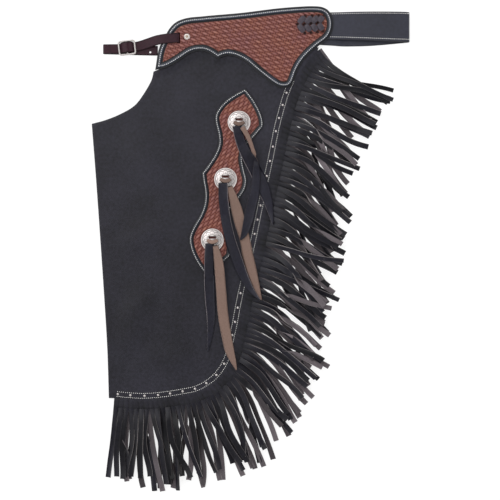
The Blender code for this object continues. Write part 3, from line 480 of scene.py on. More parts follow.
def corner_shares(line):
    """Shares of a line's length at which it turns by more than 25 degrees."""
    ahead = np.diff(line, axis=0)
    ahead /= np.linalg.norm(ahead, axis=1)[:, None]
    turn = np.einsum("ij,ij->i", ahead[:-1], ahead[1:])
    along = lengths(line)
    return along[1:-1][turn < math.cos(math.radians(25))] / along[-1]


RIM = table((0.0, 0.13, 0.5, 1.0))


def shell(first, second, step, inner, wall, face, underside, rim=RIM, low_inner=None):
    """A cut sheet of leather between two edges that share both ends. Its plan is a ruled grid:
    point(u, v) = (1 - v) times the first edge at share u of its length, plus v times the second
    edge at the same share. The face is at face(points) and the underside at underside(points);
    within half a wall of the outline both draw in along a half circle to the middle of the
    wall, so the cut edge is round and closed."""
    total = max(lengths(first)[-1], lengths(second)[-1])
    shares = np.linspace(0.0, 1.0, math.ceil(total / step) + 1)
    shares = np.unique(np.round(np.concatenate([shares, corner_shares(first), corner_shares(second)]), 5))
    low = at(first, shares * lengths(first)[-1])
    high = at(second, shares * lengths(second)[-1])
    width = np.maximum(np.linalg.norm(high - low, axis=1), 1e-6)[:, None]
    near = np.minimum(rim * wall / 2 / width, np.linspace(0.0, 0.2, len(rim)))
    ring = closed_resample(np.vstack([first, second[-2:0:-1]]), min(step, 2.5))

    def sheet_grid(count, side):
        last = near[:, -1:]
        across = np.hstack([
            near[:, :-1], last + (1 - 2 * last) * np.linspace(0.0, 1.0, count + 1),
            1 - near[:, -2::-1],
        ])
        plan = low[:, None] * (1 - across[..., None]) + high[:, None] * across[..., None]
        flat = plan.reshape(-1, 2)
        inset = np.clip(distance_to(flat, ring) / (wall / 2), 0.0, 1.0)
        edge = across.reshape(-1)
        inset[(edge <= 0.0) | (edge >= 1.0)] = 0.0
        draw = np.sqrt(1.0 - (1.0 - inset) ** 2)
        top, bottom = face(flat), underside(flat)
        middle = (top + bottom) / 2
        z = middle + ((top if side > 0 else bottom) - middle) * draw
        return np.column_stack([flat, z]), grid_faces(*across.shape), inset

    parts = []
    for count, side in ((inner, 1), (low_inner or inner, -1)):
        points, faces, inset = sheet_grid(count, side)
        marks = {"rim": 1.0 - inset, "side": np.full(len(points), float(side))}
        parts.append((points, faces if side > 0 else faces[:, ::-1], marks))
    return parts


def node_points(name):
    """A solid's points, in millimetres."""
    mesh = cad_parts[name].data
    points = np.empty(len(mesh.vertices) * 3)
    mesh.vertices.foreach_get("co", points)
    return points.reshape(-1, 3) / MM


def lowest_at(name, places):
    """Height of a solid's lowest point at each place in plan."""
    points = node_points(name)
    gaps = np.linalg.norm(points[None, :, :2] - places[:, None, :], axis=2)
    near = gaps < gaps.min(axis=1)[:, None] + 0.05
    return np.where(near, points[None, :, 2], np.inf).min(axis=1)


def strip_section(inner, turns):
    """A strip's cross-section, going round: share of the half width, millimetres taken off it
    in walls, and height in walls. Two flat faces and two half-round edges."""
    quarter = np.radians(np.linspace(0.0, 90.0, turns + 1))
    mm, height = -(1 - np.cos(quarter)) / 2, np.sin(quarter) / 2
    flat = np.concatenate([[-0.94], np.linspace(-1.0, 1.0, inner + 2)[1:-1], [0.94]])
    rows = [(-1.0, m, h) for m, h in zip(mm, height)]
    rows += [(f, 0.0, 0.5) for f in flat]
    rows += [(1.0, m, h) for m, h in zip(mm[::-1], height[::-1])]
    under = [(f, m, -h) for f, m, h in rows[-2:0:-1]]
    return table(rows + under)


def carried(route, across, up, half, wall, section, cup=None):
    """A cross-section carried along a route in space. Each point is the route's point, plus
    across times the share of the half width, plus up times the height; cup lifts both edges by
    the square of the share. Both ends are closed by one face."""
    count, around = len(route), len(section)
    share, trim, height = section.T
    aside = share[None] * half[:, None] + np.sign(share)[None] * trim[None] * wall
    lift = np.broadcast_to(height[None] * wall, aside.shape).copy()
    if cup is not None:
        lift += cup[:, None] * (share[None] ** 2 - 0.33)
    points = route[:, None] + across[:, None] * aside[..., None] + up[:, None] * lift[..., None]
    faces = [tuple(f) for f in grid_faces(count, around, wrap=True)]
    faces += [tuple(range(around)), tuple((count - 1) * around + k for k in reversed(range(around)))]
    marks = {
        "side": np.tile(np.sign(np.round(height, 3)) * (np.abs(height) > 0.35), count),
        "across": np.tile(share, count),
        "along": np.repeat(lengths(route), around),
    }
    return points.reshape(-1, 3), faces, marks


def cut_corners(route, times):
    """A route with its corners rounded: every stretch keeps its middle half, again and again,
    and the two ends stay."""
    for _ in range(times):
        near = route[:-1] * 0.75 + route[1:] * 0.25
        far = route[:-1] * 0.25 + route[1:] * 0.75
        route = np.vstack([route[:1], np.stack([near, far], axis=1).reshape(-1, route.shape[1]), route[-1:]])
    return route


def level_frame(route, side):
    """Across and up for a strap whose width stays level: across is square to the route in plan
    and keeps to one side, also where the route turns back on itself."""
    ahead = np.gradient(route, axis=0)
    ahead /= np.maximum(np.linalg.norm(ahead, axis=1), 1e-9)[:, None]
    across = np.empty_like(ahead)
    last = np.array(side, dtype=float)
    for i, way in enumerate(ahead):
        flat = np.array([-way[1], way[0], 0.0])
        if np.linalg.norm(flat) > 0.3:
            last = flat * math.copysign(1.0, flat @ last) / np.linalg.norm(flat)
        across[i] = last
    return across, np.cross(ahead, across)


def repeated(template, faces, centres, ahead, aside, up):
    """Many copies of a small form. Each copy's point is its centre plus the template's three
    lengths along its own three directions."""
    points = centres[:, None] + sum(
        template[None, :, k:k + 1] * way[:, None] for k, way in enumerate((ahead, aside, up))
    )
    count = len(template)
    shifted = [tuple(i + count * n for i in face) for n in range(len(centres)) for face in faces]
    return points.reshape(-1, 3), shifted


def turned_form(profile, sides):
    """A profile of (radius, height) rows spun round a line, with its two ends on the line."""
    profile = table(profile)
    turns = np.linspace(0.0, 2 * math.pi, sides, endpoint=False)
    x = profile[:, :1] * np.cos(turns)
    y = profile[:, :1] * np.sin(turns)
    z = np.broadcast_to(profile[:, 1:], x.shape)
    points = np.stack([x, y, z], axis=-1).reshape(-1, 3)
    return points, grid_faces(len(profile), sides, wrap=True)


def thread(name, lines, material, radius=STITCH_RADIUS, slant=0.0):
    """Sewn rows: along each line in space, short threads with round ends, each a spun profile
    laid on its side, sunk a little into the leather and slanted to its row."""
    profile = ((0.0, -0.5), (0.7, -0.4), (1.0, -0.12), (1.0, 0.12), (0.7, 0.4), (0.0, 0.5))
    spun, faces = turned_form(profile, 6)
    c, s = math.cos(math.radians(slant)), math.sin(math.radians(slant))
    ends, width = spun[:, 2] * STITCH_LENGTH, spun[:, 0] * radius
    template = np.column_stack([ends * c - width * s, ends * s + width * c, spun[:, 1] * radius])
    parts = []
    for line in lines:
        total = lengths(line)[-1]
        where = np.arange(STITCH_PITCH / 2, total, STITCH_PITCH)
        centres = at(line, where)
        ahead = at(line, where + 0.6) - at(line, where - 0.6)
        ahead /= np.linalg.norm(ahead, axis=1)[:, None]
        aside = np.column_stack([-ahead[:, 1], ahead[:, 0], np.zeros(len(ahead))])
        aside /= np.linalg.norm(aside, axis=1)[:, None]
        up = np.cross(ahead, aside)
        points, made = repeated(template, [tuple(f) for f in faces], centres, ahead, aside, up)
        parts.append((points, made, {}))
    points, faces, _ = join_parts(parts)
    return make(name, points, faces, material)


def cut_through(piece, cutters):
    """The piece with the cutters' forms taken out of it, as a finished mesh."""
    for cutter in cutters:
        cut = piece.modifiers.new("cut", "BOOLEAN")
        cut.operation = "DIFFERENCE"
        cut.object = cutter
    settled = piece.evaluated_get(bpy.context.evaluated_depsgraph_get())
    mesh = bpy.data.meshes.new_from_object(settled)
    piece.modifiers.clear()
    old = piece.data
    piece.data = mesh
    mesh.name = piece.name
    bpy.data.meshes.remove(old)
    for cutter in cutters:
        bpy.data.objects.remove(cutter)
    return piece


def block(centre, half, low, high, turn=0.0):
    """A box for cutting a slot."""
    c, s = math.cos(turn), math.sin(turn)
    corners = [(-1, -1), (1, -1), (1, 1), (-1, 1)]
    points = [
        (centre[0] + a * half[0] * c - b * half[1] * s, centre[1] + a * half[0] * s + b * half[1] * c, z)
        for z in (low, high) for a, b in corners
    ]
    faces = [(3, 2, 1, 0), (4, 5, 6, 7)] + [(k, (k + 1) % 4, (k + 1) % 4 + 4, k + 4) for k in range(4)]
    return make("cutter", table(points), faces, bpy.data.materials[0])


def drill(centre, radius, low, high):
    """A round bar for cutting a hole."""
    spun, faces = turned_form(((0.0, high), (radius, high), (radius, low), (0.0, low)), 20)
    return make("cutter", spun + (*centre, 0.0), faces, bpy.data.materials[0])


# Finishes


def linear(code):
    """An sRGB hex colour as linear red, green, blue and alpha."""
    code = code.lstrip("#")
    values = [int(code[i:i + 2], 16) / 255 for i in (0, 2, 4)]
    return [v / 12.92 if v <= 0.04045 else ((v + 0.055) / 1.055) ** 2.4 for v in values] + [1.0]


def add(tree, kind, inputs=None, stops=None, **settings):
    """A node with its settings, and with its inputs as values or as links from other nodes."""
    made = tree.nodes.new(kind)
    for key, value in settings.items():
        setattr(made, key, value)
    for key, value in (inputs or {}).items():
        if isinstance(value, bpy.types.NodeSocket):
            tree.links.new(value, made.inputs[key])
        else:
            made.inputs[key].default_value = value
    if stops:
        elements = made.color_ramp.elements
        while len(elements) < len(stops):
            elements.new(0.5)
        for element, (place, colour) in zip(elements, stops):
            element.position = place
            element.color = colour
    return made


def surface(name, **shader_inputs):
    """A new material: its node tree and its shader, with the shader's own values set."""
    material = bpy.data.materials.new(name)
    material.use_nodes = True
    tree = material.node_tree
    shader = tree.nodes["Principled BSDF"]
    for key, value in shader_inputs.items():
        shader.inputs[key.replace("_", " ")].default_value = value
    return material, tree, shader


def per_metre(size_mm):
    """A texture's scale for a feature of this size."""
    return 1.0 / (size_mm * MM)


def grey(value):
    """A grey colour."""
    return [value, value, value, 1.0]


def leather(name, dark, light, roughness, grain_mm=2.2, grain_depth=0.16, patch_mm=70.0, gloss=0.5,
            flesh=None, edge=None, relief=None):
    """Leather: a skin of pebbled grain, with slow patches of colour, and where asked its napped flesh side
    on faces marked below 0, a lighter cut edge, and a stamped relief that is dark in its hollows. On some
    pieces the rim and relief marks carry painted highlights and painted shade instead, and the shade mark,
    which scales the colour, carries painted light and shade on some pieces. The grain is drawn about twice
    as coarse as life so that it shows."""
    material, tree, shader = surface(name, Specular_IOR_Level=gloss)
    place = add(tree, "ShaderNodeTexCoord").outputs["Object"]
    patches = add(tree, "ShaderNodeTexNoise", {"Vector": place, "Scale": per_metre(patch_mm), "Detail": 3.0})
    fine = add(tree, "ShaderNodeTexNoise", {"Vector": place, "Scale": per_metre(5.0), "Detail": 4.0})
    mixed = add(tree, "ShaderNodeMath", {0: patches.outputs["Fac"], 1: fine.outputs["Fac"]}, operation="ADD")
    mixed = add(tree, "ShaderNodeMapRange", {"Value": mixed.outputs[0], "From Min": 0.7, "From Max": 1.3})
    colour = add(tree, "ShaderNodeMix", {"Factor": mixed.outputs[0], "A": linear(dark), "B": linear(light)},
                 data_type="RGBA").outputs["Result"]
    cells = add(tree, "ShaderNodeTexVoronoi", {"Vector": place, "Scale": per_metre(grain_mm)},
                feature="SMOOTH_F1")
    height = cells.outputs["Distance"]
    rough = add(tree, "ShaderNodeMapRange", {"Value": fine.outputs["Fac"], "To Min": roughness - 0.06,
                                             "To Max": roughness + 0.08}).outputs[0]
    if relief:
        mark = add(tree, "ShaderNodeAttribute", attribute_name="relief").outputs["Fac"]
        hollow = add(tree, "ShaderNodeValToRGB", {"Fac": mark},
                     stops=[(p, linear(c)) for p, c in relief]).outputs["Color"]
        colour = add(tree, "ShaderNodeMix", {"Factor": 1.0, "A": colour, "B": hollow},
                     data_type="RGBA", blend_type="MULTIPLY").outputs["Result"]
    if flesh:
        nap = add(tree, "ShaderNodeTexNoise", {"Vector": place, "Scale": per_metre(1.6), "Detail": 5.0})
        napped = add(tree, "ShaderNodeMix", {"Factor": nap.outputs["Fac"], "A": linear(flesh[0]),
                                             "B": linear(flesh[1])}, data_type="RGBA").outputs["Result"]
        side = add(tree, "ShaderNodeAttribute", attribute_name="side").outputs["Fac"]
        below = add(tree, "ShaderNodeMath", {0: side, 1: -0.2}, operation="LESS_THAN").outputs[0]
        colour = add(tree, "ShaderNodeMix", {"Factor": below, "A": colour, "B": napped},
                     data_type="RGBA").outputs["Result"]
        rough = add(tree, "ShaderNodeMix", {"Factor": below, "A": rough, "B": 0.93}).outputs["Result"]
    if edge:
        rim = add(tree, "ShaderNodeAttribute", attribute_name="rim").outputs["Fac"]
        colour = add(tree, "ShaderNodeMix", {"Factor": rim, "A": colour, "B": linear(edge)},
                     data_type="RGBA").outputs["Result"]
    shade = add(tree, "ShaderNodeAttribute", attribute_name="shade").outputs["Fac"]
    lighter = add(tree, "ShaderNodeMath", {0: shade, 1: 1.0}, operation="ADD").outputs[0]
    colour = add(tree, "ShaderNodeVectorMath", {0: colour, "Scale": lighter}, operation="SCALE").outputs[0]
    bump = add(tree, "ShaderNodeBump", {"Height": height, "Strength": 0.6, "Distance": grain_depth * MM})
    tree.links.new(colour, shader.inputs["Base Color"])
    tree.links.new(rough, shader.inputs["Roughness"])
    tree.links.new(bump.outputs["Normal"], shader.inputs["Normal"])
    return material


def bare_metal(name, colour, roughness, scratch=0.05, grime=None):
    """Polished metal with faint fine scratches, and where asked with grime in the hollows of its
    engraving, which the relief mark gives."""
    material, tree, shader = surface(name, Base_Color=linear(colour), Metallic=1.0, Roughness=roughness)
    place = add(tree, "ShaderNodeTexCoord").outputs["Object"]
    stretch = add(tree, "ShaderNodeMapping", {"Vector": place, "Rotation": (0.0, 0.0, 0.6),
                                              "Scale": (1.0, 6.0, 1.0)}).outputs[0]
    marks = add(tree, "ShaderNodeTexNoise", {"Vector": stretch, "Scale": per_metre(4.0), "Detail": 6.0})
    rough = add(tree, "ShaderNodeMapRange", {"Value": marks.outputs["Fac"], "To Min": roughness - 0.06,
                                             "To Max": roughness + 0.1}).outputs[0]
    bump = add(tree, "ShaderNodeBump", {"Height": marks.outputs["Fac"], "Strength": 0.3,
                                        "Distance": scratch * MM})
    tree.links.new(rough, shader.inputs["Roughness"])
    tree.links.new(bump.outputs["Normal"], shader.inputs["Normal"])
    if grime:
        cut = add(tree, "ShaderNodeAttribute", attribute_name="relief").outputs["Fac"]
        dull = add(tree, "ShaderNodeMix", {"Factor": cut, "A": linear(colour), "B": linear(grime)},
                   data_type="RGBA").outputs["Result"]
        tree.links.new(dull, shader.inputs["Base Color"])
    return material


def thread_finish():
    """Waxed white nylon thread: slightly glossy, with a fine twist."""
    material, tree, shader = surface("waxed white thread", Roughness=0.55)
    place = add(tree, "ShaderNodeTexCoord").outputs["Object"]
    twist = add(tree, "ShaderNodeTexNoise", {"Vector": place, "Scale": per_metre(0.8), "Detail": 2.0})
    colour = add(tree, "ShaderNodeMix", {"Factor": twist.outputs["Fac"], "A": linear("#cfccc6"),
                                         "B": linear("#fbfaf6")}, data_type="RGBA")
    tree.links.new(colour.outputs["Result"], shader.inputs["Base Color"])
    return material


# Smooth chrome-tanned cowhide, dyed black, half matt, with a cooler bloom in its patches
BLACK = leather("smooth black cowhide", "#131218", "#23222b", 0.5, gloss=0.27)
# The same hide on its other side, which shows at the back
BLACK_BACK = leather("black cowhide, flesh out", "#2e2c2d", "#3a3635", 0.8, gloss=0.3,
                     flesh=("#3d3837", "#5a524f"))
# Bound border: bridle leather, black in its flats, with a blue-grey painted highlight on its ridge and
# painted shade in its groove
BORDER = leather("blue-black bridle leather", "#3d4353", "#4a5162", 0.36, gloss=0.36, edge="#0b0b0d",
                 relief=((0.0, "#1c1c20"), (0.42, "#38383e"), (0.72, "#6b6b70"), (1.0, "#dcdcde")))
# Belt: the same bridle leather, smooth, with a blue cast
BELT = leather("blue-black belt leather", "#24252e", "#2d2e3a", 0.42, gloss=0.38, edge="#0f0f12")
# Veg-tanned leather, stamped and antiqued: pinkish brown, more orange in patches, with dark paste left in
# the hollows; the same dark colour is painted shade in the lace holes
TOOLED = leather("stamped veg-tanned leather", "#896060", "#966858", 0.5, patch_mm=24.0, grain_mm=1.2,
                 grain_depth=0.06, gloss=0.24,
                 relief=((0.0, "#463130"), (0.16, "#9b716a"), (0.4, "#cdb3ae"), (1.0, "#ffffff")))
# Oxblood latigo strap leather, waxed
OXBLOOD = leather("oxblood latigo leather", "#220d16", "#331722", 0.36, gloss=0.2, edge="#10070a")
# Lace: the same latigo in a brown-black
LACE = leather("grey-brown latigo lace", "#2e2930", "#4a424b", 0.45, gloss=0.33)
# Fringe: soft black garment leather with its grey-brown nap on the flesh side and paler cuts, whose colour
# also makes a painted highlight along one edge of each strand
FRINGE = leather("soft black garment leather", "#0a090f", "#16151e", 0.4, gloss=0.26, edge="#8d8786",
                 flesh=("#474146", "#6b6467"))
# Strings: latigo, black grain, a tan-grey flesh side and paler cuts; on the tails the cut colour goes on one
# edge only, as a painted highlight
STRING = leather("black latigo string leather", "#13121b", "#1f1e2a", 0.42, gloss=0.26, edge="#8a8286",
                 flesh=("#655149", "#836d63"))
# Nickel silver, stamped, polished and lightly tarnished in its engraving
NICKEL = bare_metal("polished nickel silver", "#b3aeac", 0.24)
ENGRAVED = bare_metal("engraved nickel silver", "#d0c9c7", 0.3, grime="#3a3433")
# Rivet: dulled nickel ring over a brass shank
DULL_NICKEL = bare_metal("dulled nickel", "#cfc8c2", 0.5)
BRASS = bare_metal("worn brass", "#a3937f", 0.45)
THREAD = thread_finish()


# Pieces


def seam_line():
    """The studded seam as fine points, with the outward direction at each, evened out."""
    line = spline(SEAM, 2.0)
    even = np.arange(0.0, lengths(line)[-1], 2.0)
    line = at(line, even)
    out = left_normals(line)
    window = np.ones(15) / 15
    padded = np.vstack([np.repeat(out[:1], 7, axis=0), out, np.repeat(out[-1:], 7, axis=0)])
    out = np.column_stack([np.convolve(padded[:, k], window, mode="valid") for k in (0, 1)])
    out /= np.linalg.norm(out, axis=1)[:, None]
    return even, line, out


def leg_edges():
    """The leg's two edges from the left end of the hem to the top of the seam: up the inside
    leg and under the yoke, and along the hem and up the seam."""
    inner = cornered(LEG_EDGE, 4.0)
    along, line, out = seam_line()
    edge = line + out * SEAM_TO_EDGE
    outer = edge[(along > 12.0) & (along < along[-1] - 4.0)]
    outer = np.vstack([inner[:1], outer[::-1], inner[-1:]])
    return inner, outer


def leg_face(points):
    """Face of the face-up leg."""
    return ground(points) + TOP_LEG_FACE + swell(points) + crease(points)


def leg_bed(points):
    """Underside of the face-up leg."""
    return ground(points) + TOP_LEG_Z + swell(points) + crease(points)


def make_legs():
    """Both legs, each with the hidden tongue that its yoke is sewn to."""
    inner, outer = leg_edges()
    tongue = cornered(TONGUE_EDGE, 6.0)
    ring = np.vstack([inner, outer[-2:0:-1]])
    area = (abs(signed_area(ring)) + abs(signed_area(tongue))) * MM**2
    side, top = split_ring(tongue, (-84, 337), (60, 392))
    low, high = ring.min(axis=0), ring.max(axis=0)
    flat = tuple((high - low) * MM)
    made = []
    for name, face, bed, material in (
        ("leg_under", lambda p: ground(p) + LEG_WALL, ground, BLACK_BACK),
        ("leg_top", leg_face, leg_bed, BLACK),
    ):
        parts = shell(inner, outer, 4.0, 60, LEG_WALL, face, bed)
        parts += shell(side, top, 6.0, 8, LEG_WALL, face, bed)
        points, faces, marks = join_parts(parts)
        # Painted light: both legs are lighter near the seam and towards the top
        from_seam = (points[:, None, :2] - seam_line()[1][None, ::6]) ** 2
        from_seam = np.sqrt(from_seam.sum(axis=2).min(axis=1))
        marks["shade"] = 0.35 * np.exp(-((from_seam / 48.0) ** 2)) + points[:, 1] / 2200.0
        piece = make(f"{name}_hide", points, faces, material, marks)
        stand_in(piece, "black_leather", name)
        made.append((piece, flat, area))
    return made


def weave(points, stamp):
    """Basket stamping, from 0 in the hollows to 1 on the raised strands: a chequerboard of
    cells on a leaning grid. In every other cell a strand lies along the row as a lens, one less
    the squares of both its coordinates, and in the rest two lower beads stand across the row.
    Each stamp was struck by hand, so the sine of the cell's number shifts its strength."""
    row_way, column_way = (math.radians(angle) for angle in stamp[:2])
    x = points[:, 0] + 0.5 * np.sin(points[:, 1] / 19.0)
    y = points[:, 1] + 0.5 * np.sin(points[:, 0] / 23.0)
    p = (x * math.cos(column_way) + y * math.sin(column_way)) / stamp[2]
    q = (-x * math.sin(row_way) + y * math.cos(row_way)) / stamp[3]
    best = np.full(len(points), 0.15)
    for i in (-1, 0, 1):
        for j in (-1, 0, 1):
            column, row = np.floor(p) + i, np.floor(q) + j
            u, v = p - column - 0.5, q - row - 0.5
            struck = 0.82 + 0.18 * np.sin(column * 12.99 + row * 78.23)
            lens = np.clip(1 - (u / 0.66) ** 2 - (v / 0.47) ** 2, 0, 1) ** 0.5
            bead = 0.5 * np.clip(1 - ((np.abs(u) - 0.2) / 0.2) ** 2 - (v / 0.6) ** 2, 0, 1) ** 0.4
            hollow = np.exp(-((u / 0.1) ** 2) - (v / 0.45) ** 2)
            lying = np.mod(column + row, 2) == 0
            best = np.maximum(best, np.where(lying, lens, bead) * struck)
            best = np.where(lying, best, best * (1 - 0.9 * hollow))
    return best


def lace_holes(points):
    """The punched holes of the lacing, from 0 outside to 1 in their middles: at both ends of
    each arm, and between each pair of arms at their point."""
    depth = np.zeros(len(points))
    for tx, ty, px, py, lx, ly in LACING:
        for hx, hy in ((tx, ty), (lx, ly)):
            arm = np.array([hx - px, hy - py]) / math.hypot(hx - px, hy - py)
            away = points - (hx, hy) - arm * 1.6
            depth = np.maximum(depth, np.exp(-((np.linalg.norm(away, axis=1) / 2.9) ** 6)))
        away = points - (px - 0.4, py)
        depth = np.maximum(depth, np.exp(-((np.linalg.norm(away, axis=1) / 2.9) ** 6)))
    return depth


def yoke_border(inset):
    """Profile of a border from its outer edge inwards: a rounded ridge that carries the sewing,
    then a shallow groove beside the tooled layer."""
    ridge = 0.6 * np.exp(-(((inset - YOKE_STITCH - 0.4) / 2.3) ** 4))
    groove = -0.3 * np.exp(-(((inset - YOKE_STITCH - 4.2) / 0.8) ** 2))
    return ridge + groove


def make_yoke():
    """The face-up yoke: a black backing with a ridged border, and the tooled layer on it, both
    slotted for the strap."""
    ring = closed_resample(YOKE_OUTLINE, 2.0)

    def border(points):
        return TOP_YOKE_Z + YOKE_WALL + yoke_border(distance_to(points, ring))

    half = np.array(SLOT_SIZE) / 2
    first, second = split_ring(closed_resample(YOKE_OUTLINE, 0.5), (-158, 298), (138, 375))
    rim = np.concatenate([RIM, np.arange(1.6, 8.4, 0.55)])
    parts = shell(first, second, 1.6, 12, YOKE_WALL, border, lambda p: np.full(len(p), TOP_YOKE_Z),
                  rim=rim, low_inner=2)
    points, faces, marks = join_parts(parts)
    # The border's colour follows its profile: a painted highlight on the ridge and painted shade in the
    # groove
    marks["relief"] = 0.4 + yoke_border(distance_to(points[:, :2], ring))
    base = make("yoke_backing", points, faces, BORDER, marks)
    tooled_ring = offset_edge(YOKE_OUTLINE, YOKE_BORDER, 0.8)
    left = tooled_ring[np.argmin(tooled_ring @ (1.0, 0.7))]
    right = tooled_ring[np.argmax(tooled_ring[:, 0])]
    first, second = split_ring(tooled_ring, left, right)

    # The lace holes take the hollows' dark colour, as painted shade in the holes
    def stamped(points):
        return weave(points, YOKE_STAMP) * (1 - lace_holes(points))

    def face(points):
        return TOP_TOOLED_Z + TOOLED_WALL - 0.45 * (1 - stamped(points)) - 0.7 * lace_holes(points)

    parts = shell(first, second, 0.9, 130, TOOLED_WALL, face, lambda p: np.full(len(p), TOP_TOOLED_Z),
                  low_inner=2)
    points, faces, marks = join_parts(parts)
    marks["relief"] = stamped(points[:, :2])
    tooled = make("yoke_tooling", points, faces, TOOLED, marks)
    for piece, slot, outline, node in (
        (base, "border_leather", YOKE_OUTLINE, "yoke_top_base"),
        (tooled, "tooled_leather", tooled_ring, "yoke_top_tooled"),
    ):
        cut_through(piece, [block((SLOT_X, SLOT_Y), half, 0.0, 30.0)])
        stand_in(piece, slot, node)
        declare_flat(outline)
    fine = offset_edge(YOKE_OUTLINE, YOKE_STITCH, 1.0)
    line = np.vstack([fine, fine[:1]])
    seam = np.column_stack([line, np.full(len(line), TOP_YOKE_Z + YOKE_WALL + 0.75)])
    stand_in(thread("yoke_stitching", [seam], THREAD, slant=STITCH_SLANT), "border_leather")


def declare_flat(outline):
    """Work out the area of a flat-cut sheet's outline in plan; the result is not kept."""
    abs(signed_area(outline)) * MM**2


def make_plate():
    """The concho plate: a black backing and the tooled layer inside its border."""
    ring = closed_resample(PLATE_OUTLINE, 2.0)

    def border(points):
        inset = distance_to(points, ring)
        return PLATE_Z + PLATE_WALL + yoke_border(inset + YOKE_STITCH - PLATE_STITCH) * 0.7

    first, second = split_ring(closed_resample(PLATE_OUTLINE, 0.5), (-8, 268), (-78, -39))
    rim = np.concatenate([RIM, np.arange(1.7, 10.0, 0.7)])
    parts = shell(first, second, 1.6, 6, PLATE_WALL, border, lambda p: np.full(len(p), PLATE_Z),
                  rim=rim, low_inner=2)
    points, faces, marks = join_parts(parts)
    inset = distance_to(points[:, :2], ring)
    # The same painted highlight on the ridge and painted shade in the groove
    marks["relief"] = 0.4 + 0.7 * yoke_border(inset + YOKE_STITCH - PLATE_STITCH)
    base = make("plate_backing", points, faces, BORDER, marks)
    tooled_ring = offset_edge(PLATE_OUTLINE, PLATE_BORDER, 0.8)
    top = tooled_ring[np.argmax(tooled_ring[:, 1])]
    foot = tooled_ring[np.argmin(tooled_ring[:, 1])]
    first, second = split_ring(tooled_ring, top, foot)

    def face(points):
        return PLATE_FACE - 0.45 * (1 - weave(points, PLATE_STAMP))

    parts = shell(first, second, 0.9, 70, PLATE_WALL, face, lambda p: np.full(len(p), PLATE_TOOLED_Z),
                  low_inner=2)
    points, faces, marks = join_parts(parts)
    marks["relief"] = weave(points[:, :2], PLATE_STAMP)
    tooled = make("plate_tooling", points, faces, TOOLED, marks)
    for piece, slot, outline, node in (
        (base, "border_leather", PLATE_OUTLINE, "plate_base"),
        (tooled, "tooled_leather", tooled_ring, "plate_tooled"),
    ):
        stand_in(piece, slot, node)
        declare_flat(outline)
    fine = offset_edge(PLATE_OUTLINE, PLATE_STITCH, 1.0)
    line = np.vstack([fine, fine[:1]])
    seam = np.column_stack([line, np.full(len(line), PLATE_Z + PLATE_WALL + 0.55)])
    stand_in(thread("plate_stitching", [seam], THREAD, slant=STITCH_SLANT), "border_leather")


def make_under_yoke():
    """The lower leg's yoke, face down on the table."""
    first, second = split_ring(closed_resample(UNDER_YOKE_OUTLINE, 1.0), (-157, 299), (136, 375))
    parts = shell(first, second, 3.0, 14, UNDER_YOKE_WALL, lambda p: np.full(len(p), UNDER_YOKE_WALL),
                  lambda p: np.zeros(len(p)))
    points, faces, marks = join_parts(parts)
    marks["relief"] = np.full(len(points), 0.4)
    piece = make("lower_yoke", points, faces, BORDER, marks)
    stand_in(piece, "border_leather", "yoke_under")
    declare_flat(UNDER_YOKE_OUTLINE)


def make_seam():
    """The seam's studs, and the sewn row on each side of them."""
    along, line, out = seam_line()
    keep = (along > 76.0) & (along < along[-1] - 6.0)
    rows = []
    for side in (-1, 1):
        row = line[keep] + out[keep] * SEAM_STITCH * side
        rows.append(np.column_stack([row, leg_face(row) - 0.1]))
    sewing = stand_in(thread("seam_stitching", rows, THREAD, radius=0.5), "black_leather")
    centres = at(line, np.array(STUDS))
    centres = np.column_stack([centres, leg_face(centres) - 0.1])
    profile = ((0.0, 1.5), (0.9, 1.3), (1.7, 0.8), (STUD_RADIUS, 0.2), (STUD_RADIUS, -0.2), (0.0, -0.2))
    template, faces = turned_form(profile, 12)
    ways = [np.tile(way, (len(centres), 1)) for way in np.eye(3)]
    points, made = repeated(template, [tuple(f) for f in faces], centres, *ways)
    studs = stand_in(make("seam_studs", points, made, NICKEL, sharp=50), "nickel_silver")
    return [sewing, studs]


def fringe_stations(leg):
    """Slit places along the fringe: seam length, inner edge point, slit line point and outward
    direction, spaced evenly along the slit line."""
    along, line, out = seam_line()
    slits = line + out * SEAM_TO_SLITS
    steps = lengths(slits)
    start = np.interp(FIRST_SLIT[leg], along, steps)
    count = int((steps[-1] - LAST_SLIT_OFF - start) / STRAND_PITCH)
    where = start + STRAND_PITCH * np.arange(count + 1)
    seam_mm = np.interp(where, steps, along)
    read = [np.interp(seam_mm, along, column) for column in (*line.T, *out.T)]
    centre = np.column_stack(read[:2])
    way = np.column_stack(read[2:])
    return seam_mm, centre + way * SEAM_TO_STRIP, centre + way * SEAM_TO_SLITS, way


